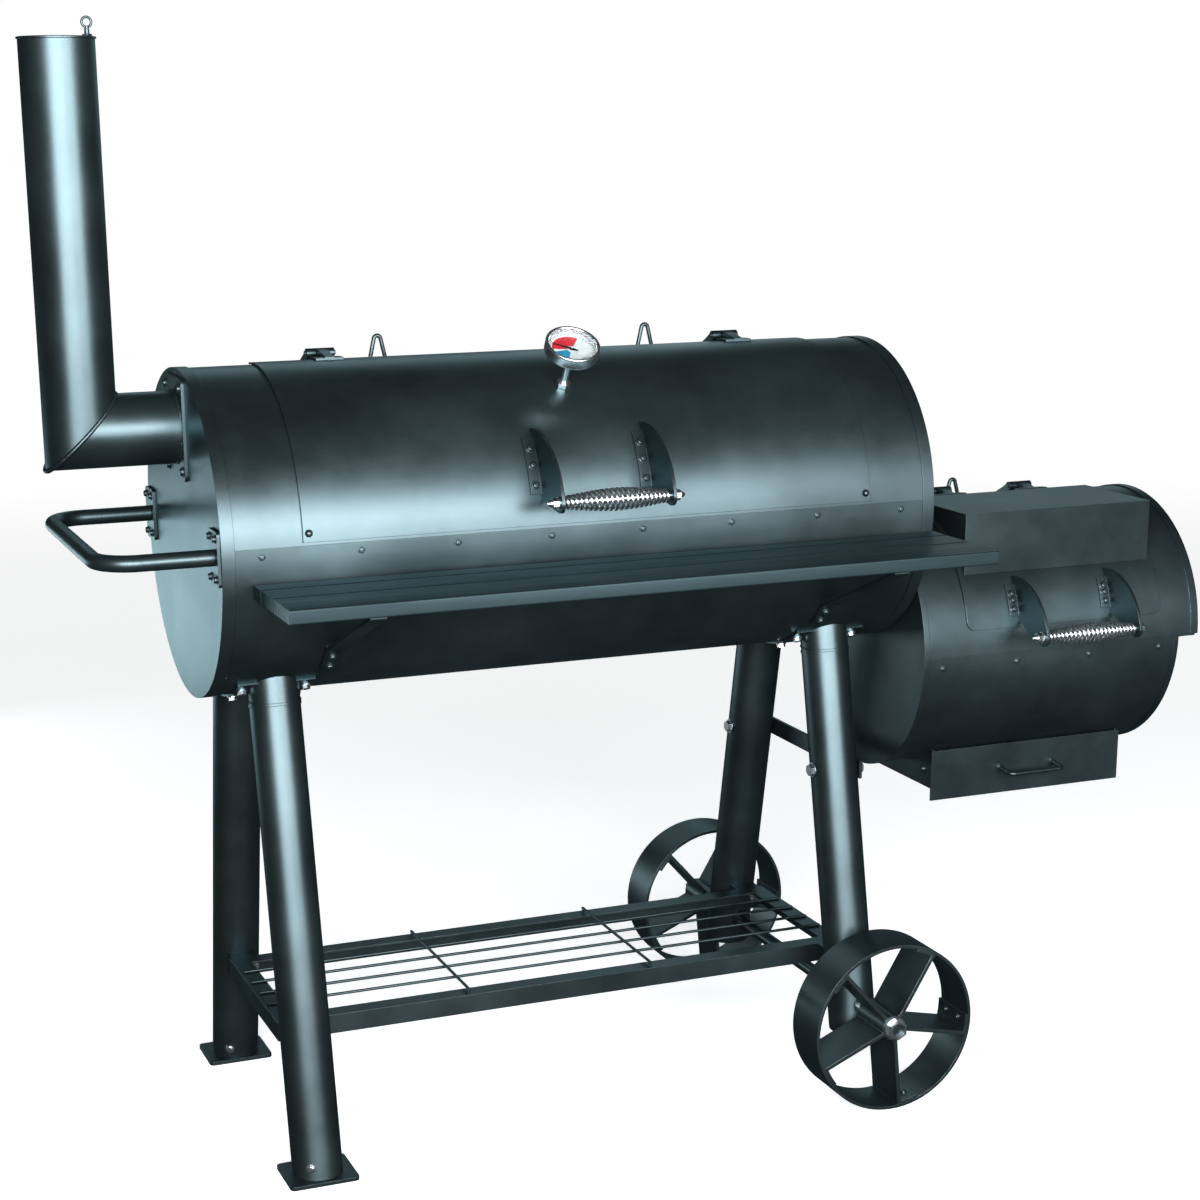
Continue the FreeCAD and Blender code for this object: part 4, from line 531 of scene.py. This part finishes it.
def camera():
    """The view from the front left, a little above the lid."""
    data = bpy.data.cameras.new("view")
    thing = bpy.data.objects.new("view", data)
    bpy.context.scene.collection.objects.link(thing)
    data.sensor_width = 36.0
    data.lens = 70.08
    data.shift_x = 0.0358
    data.shift_y = 0.1287
    turn, tip, roll = (math.radians(d) for d in (21.22, 15.14, -0.54))
    ahead = Vector((math.sin(turn) * math.cos(tip), math.cos(turn) * math.cos(tip), -math.sin(tip)))
    right = Vector((math.cos(turn), -math.sin(turn), 0))
    up = right.cross(ahead)
    right, up = right * math.cos(roll) + up * math.sin(roll), up * math.cos(roll) - right * math.sin(roll)
    place = Matrix((right, up, -ahead)).transposed().to_4x4()
    place.translation = Vector((LEFT_X - 0.6055, AXIS_Y - 2.8279, 1.2671))
    thing.matrix_world = place
    bpy.context.scene.camera = thing


def softbox(name, place, target, width, height, radiance, colour):
    """A lit panel: its power follows from its size, so that the radiance stays as it is given."""
    data = bpy.data.lights.new(name, "AREA")
    data.shape = "RECTANGLE"
    data.size = width
    data.size_y = height
    data.energy = radiance * math.pi * width * height
    data.color = colour
    thing = bpy.data.objects.new(name, data)
    thing.visible_camera = False
    bpy.context.scene.collection.objects.link(thing)
    ahead = (Vector(target) - Vector(place)).normalized()
    thing.matrix_world = Matrix.Translation(place) @ ahead.to_track_quat("-Z", "Y").to_matrix().to_4x4()


def studio_floor():
    """A pale round floor that fades out into the white backdrop, so that no horizon shows."""
    rim = 64
    turns = [2 * math.pi * i / rim for i in range(rim)]
    mesh = bpy.data.meshes.new("studio_floor")
    points = [(FLOOR_R * math.cos(a), FLOOR_R * math.sin(a), 0) for a in turns]
    mesh.from_pydata(points, [], [tuple(range(rim))])
    floor = bpy.data.objects.new("studio_floor", mesh)
    bpy.context.scene.collection.objects.link(floor)
    floor.visible_diffuse = False
    floor.visible_glossy = False
    mesh.materials.append(FLOOR)


def studio():
    """Two softboxes in front, a low panel for the left end cap, and two weak ones behind."""
    studio_floor()
    world = bpy.data.worlds.new("studio")
    bpy.context.scene.world = world
    world.use_nodes = True
    nodes, links = world.node_tree.nodes, world.node_tree.links
    room = nodes["Background"]
    room.inputs["Color"].default_value = (0.82, 0.95, 1.0, 1)
    room.inputs["Strength"].default_value = ROOM_LIGHT
    backdrop = nodes.new("ShaderNodeBackground")
    backdrop.inputs["Color"].default_value = (1, 1, 1, 1)
    backdrop.inputs["Strength"].default_value = 1.0
    path = nodes.new("ShaderNodeLightPath")
    mixer = nodes.new("ShaderNodeMixShader")
    links.new(path.outputs["Is Camera Ray"], mixer.inputs[0])
    links.new(room.outputs[0], mixer.inputs[1])
    links.new(backdrop.outputs[0], mixer.inputs[2])
    links.new(mixer.outputs[0], nodes["World Output"].inputs["Surface"])
    cool = (0.93, 0.99, 1.0)
    softbox("front_softbox", (-1.45, -3.0, 1.35), (-0.4, 0.0, 0.85), 2.6, 1.4, 18.0, cool)
    softbox("right_softbox", (0.60, -3.1, 1.35), (0.1, 0.0, 0.85), 1.5, 1.3, 15.5, cool)
    softbox("cap_panel", (-1.5, 2.1, 0.26), (LEFT_X, 0.0, 0.8), 1.6, 0.5, 3.4, cool)
    softbox("rear_softbox", (0.2, 3.2, 2.4), (0.0, 0.0, 0.8), 3.0, 0.6, 2.0, cool)
    softbox("back_panel", (2.3, 2.9, 1.7), (0.4, 0.0, 0.8), 2.6, 1.0, 0.8, cool)
    bpy.context.scene.view_settings.view_transform = "Standard"


camera()
dress_nodes()
spring_grip("lid_spring_grip", "lid_handle_spring", LID)
spring_grip("firebox_spring_grip", "firebox_handle_spring", FIREBOX_LID)
chimney_welds()
leg_welds()
spoke_welds()
lid_studs()
dial_bezel()
studio()
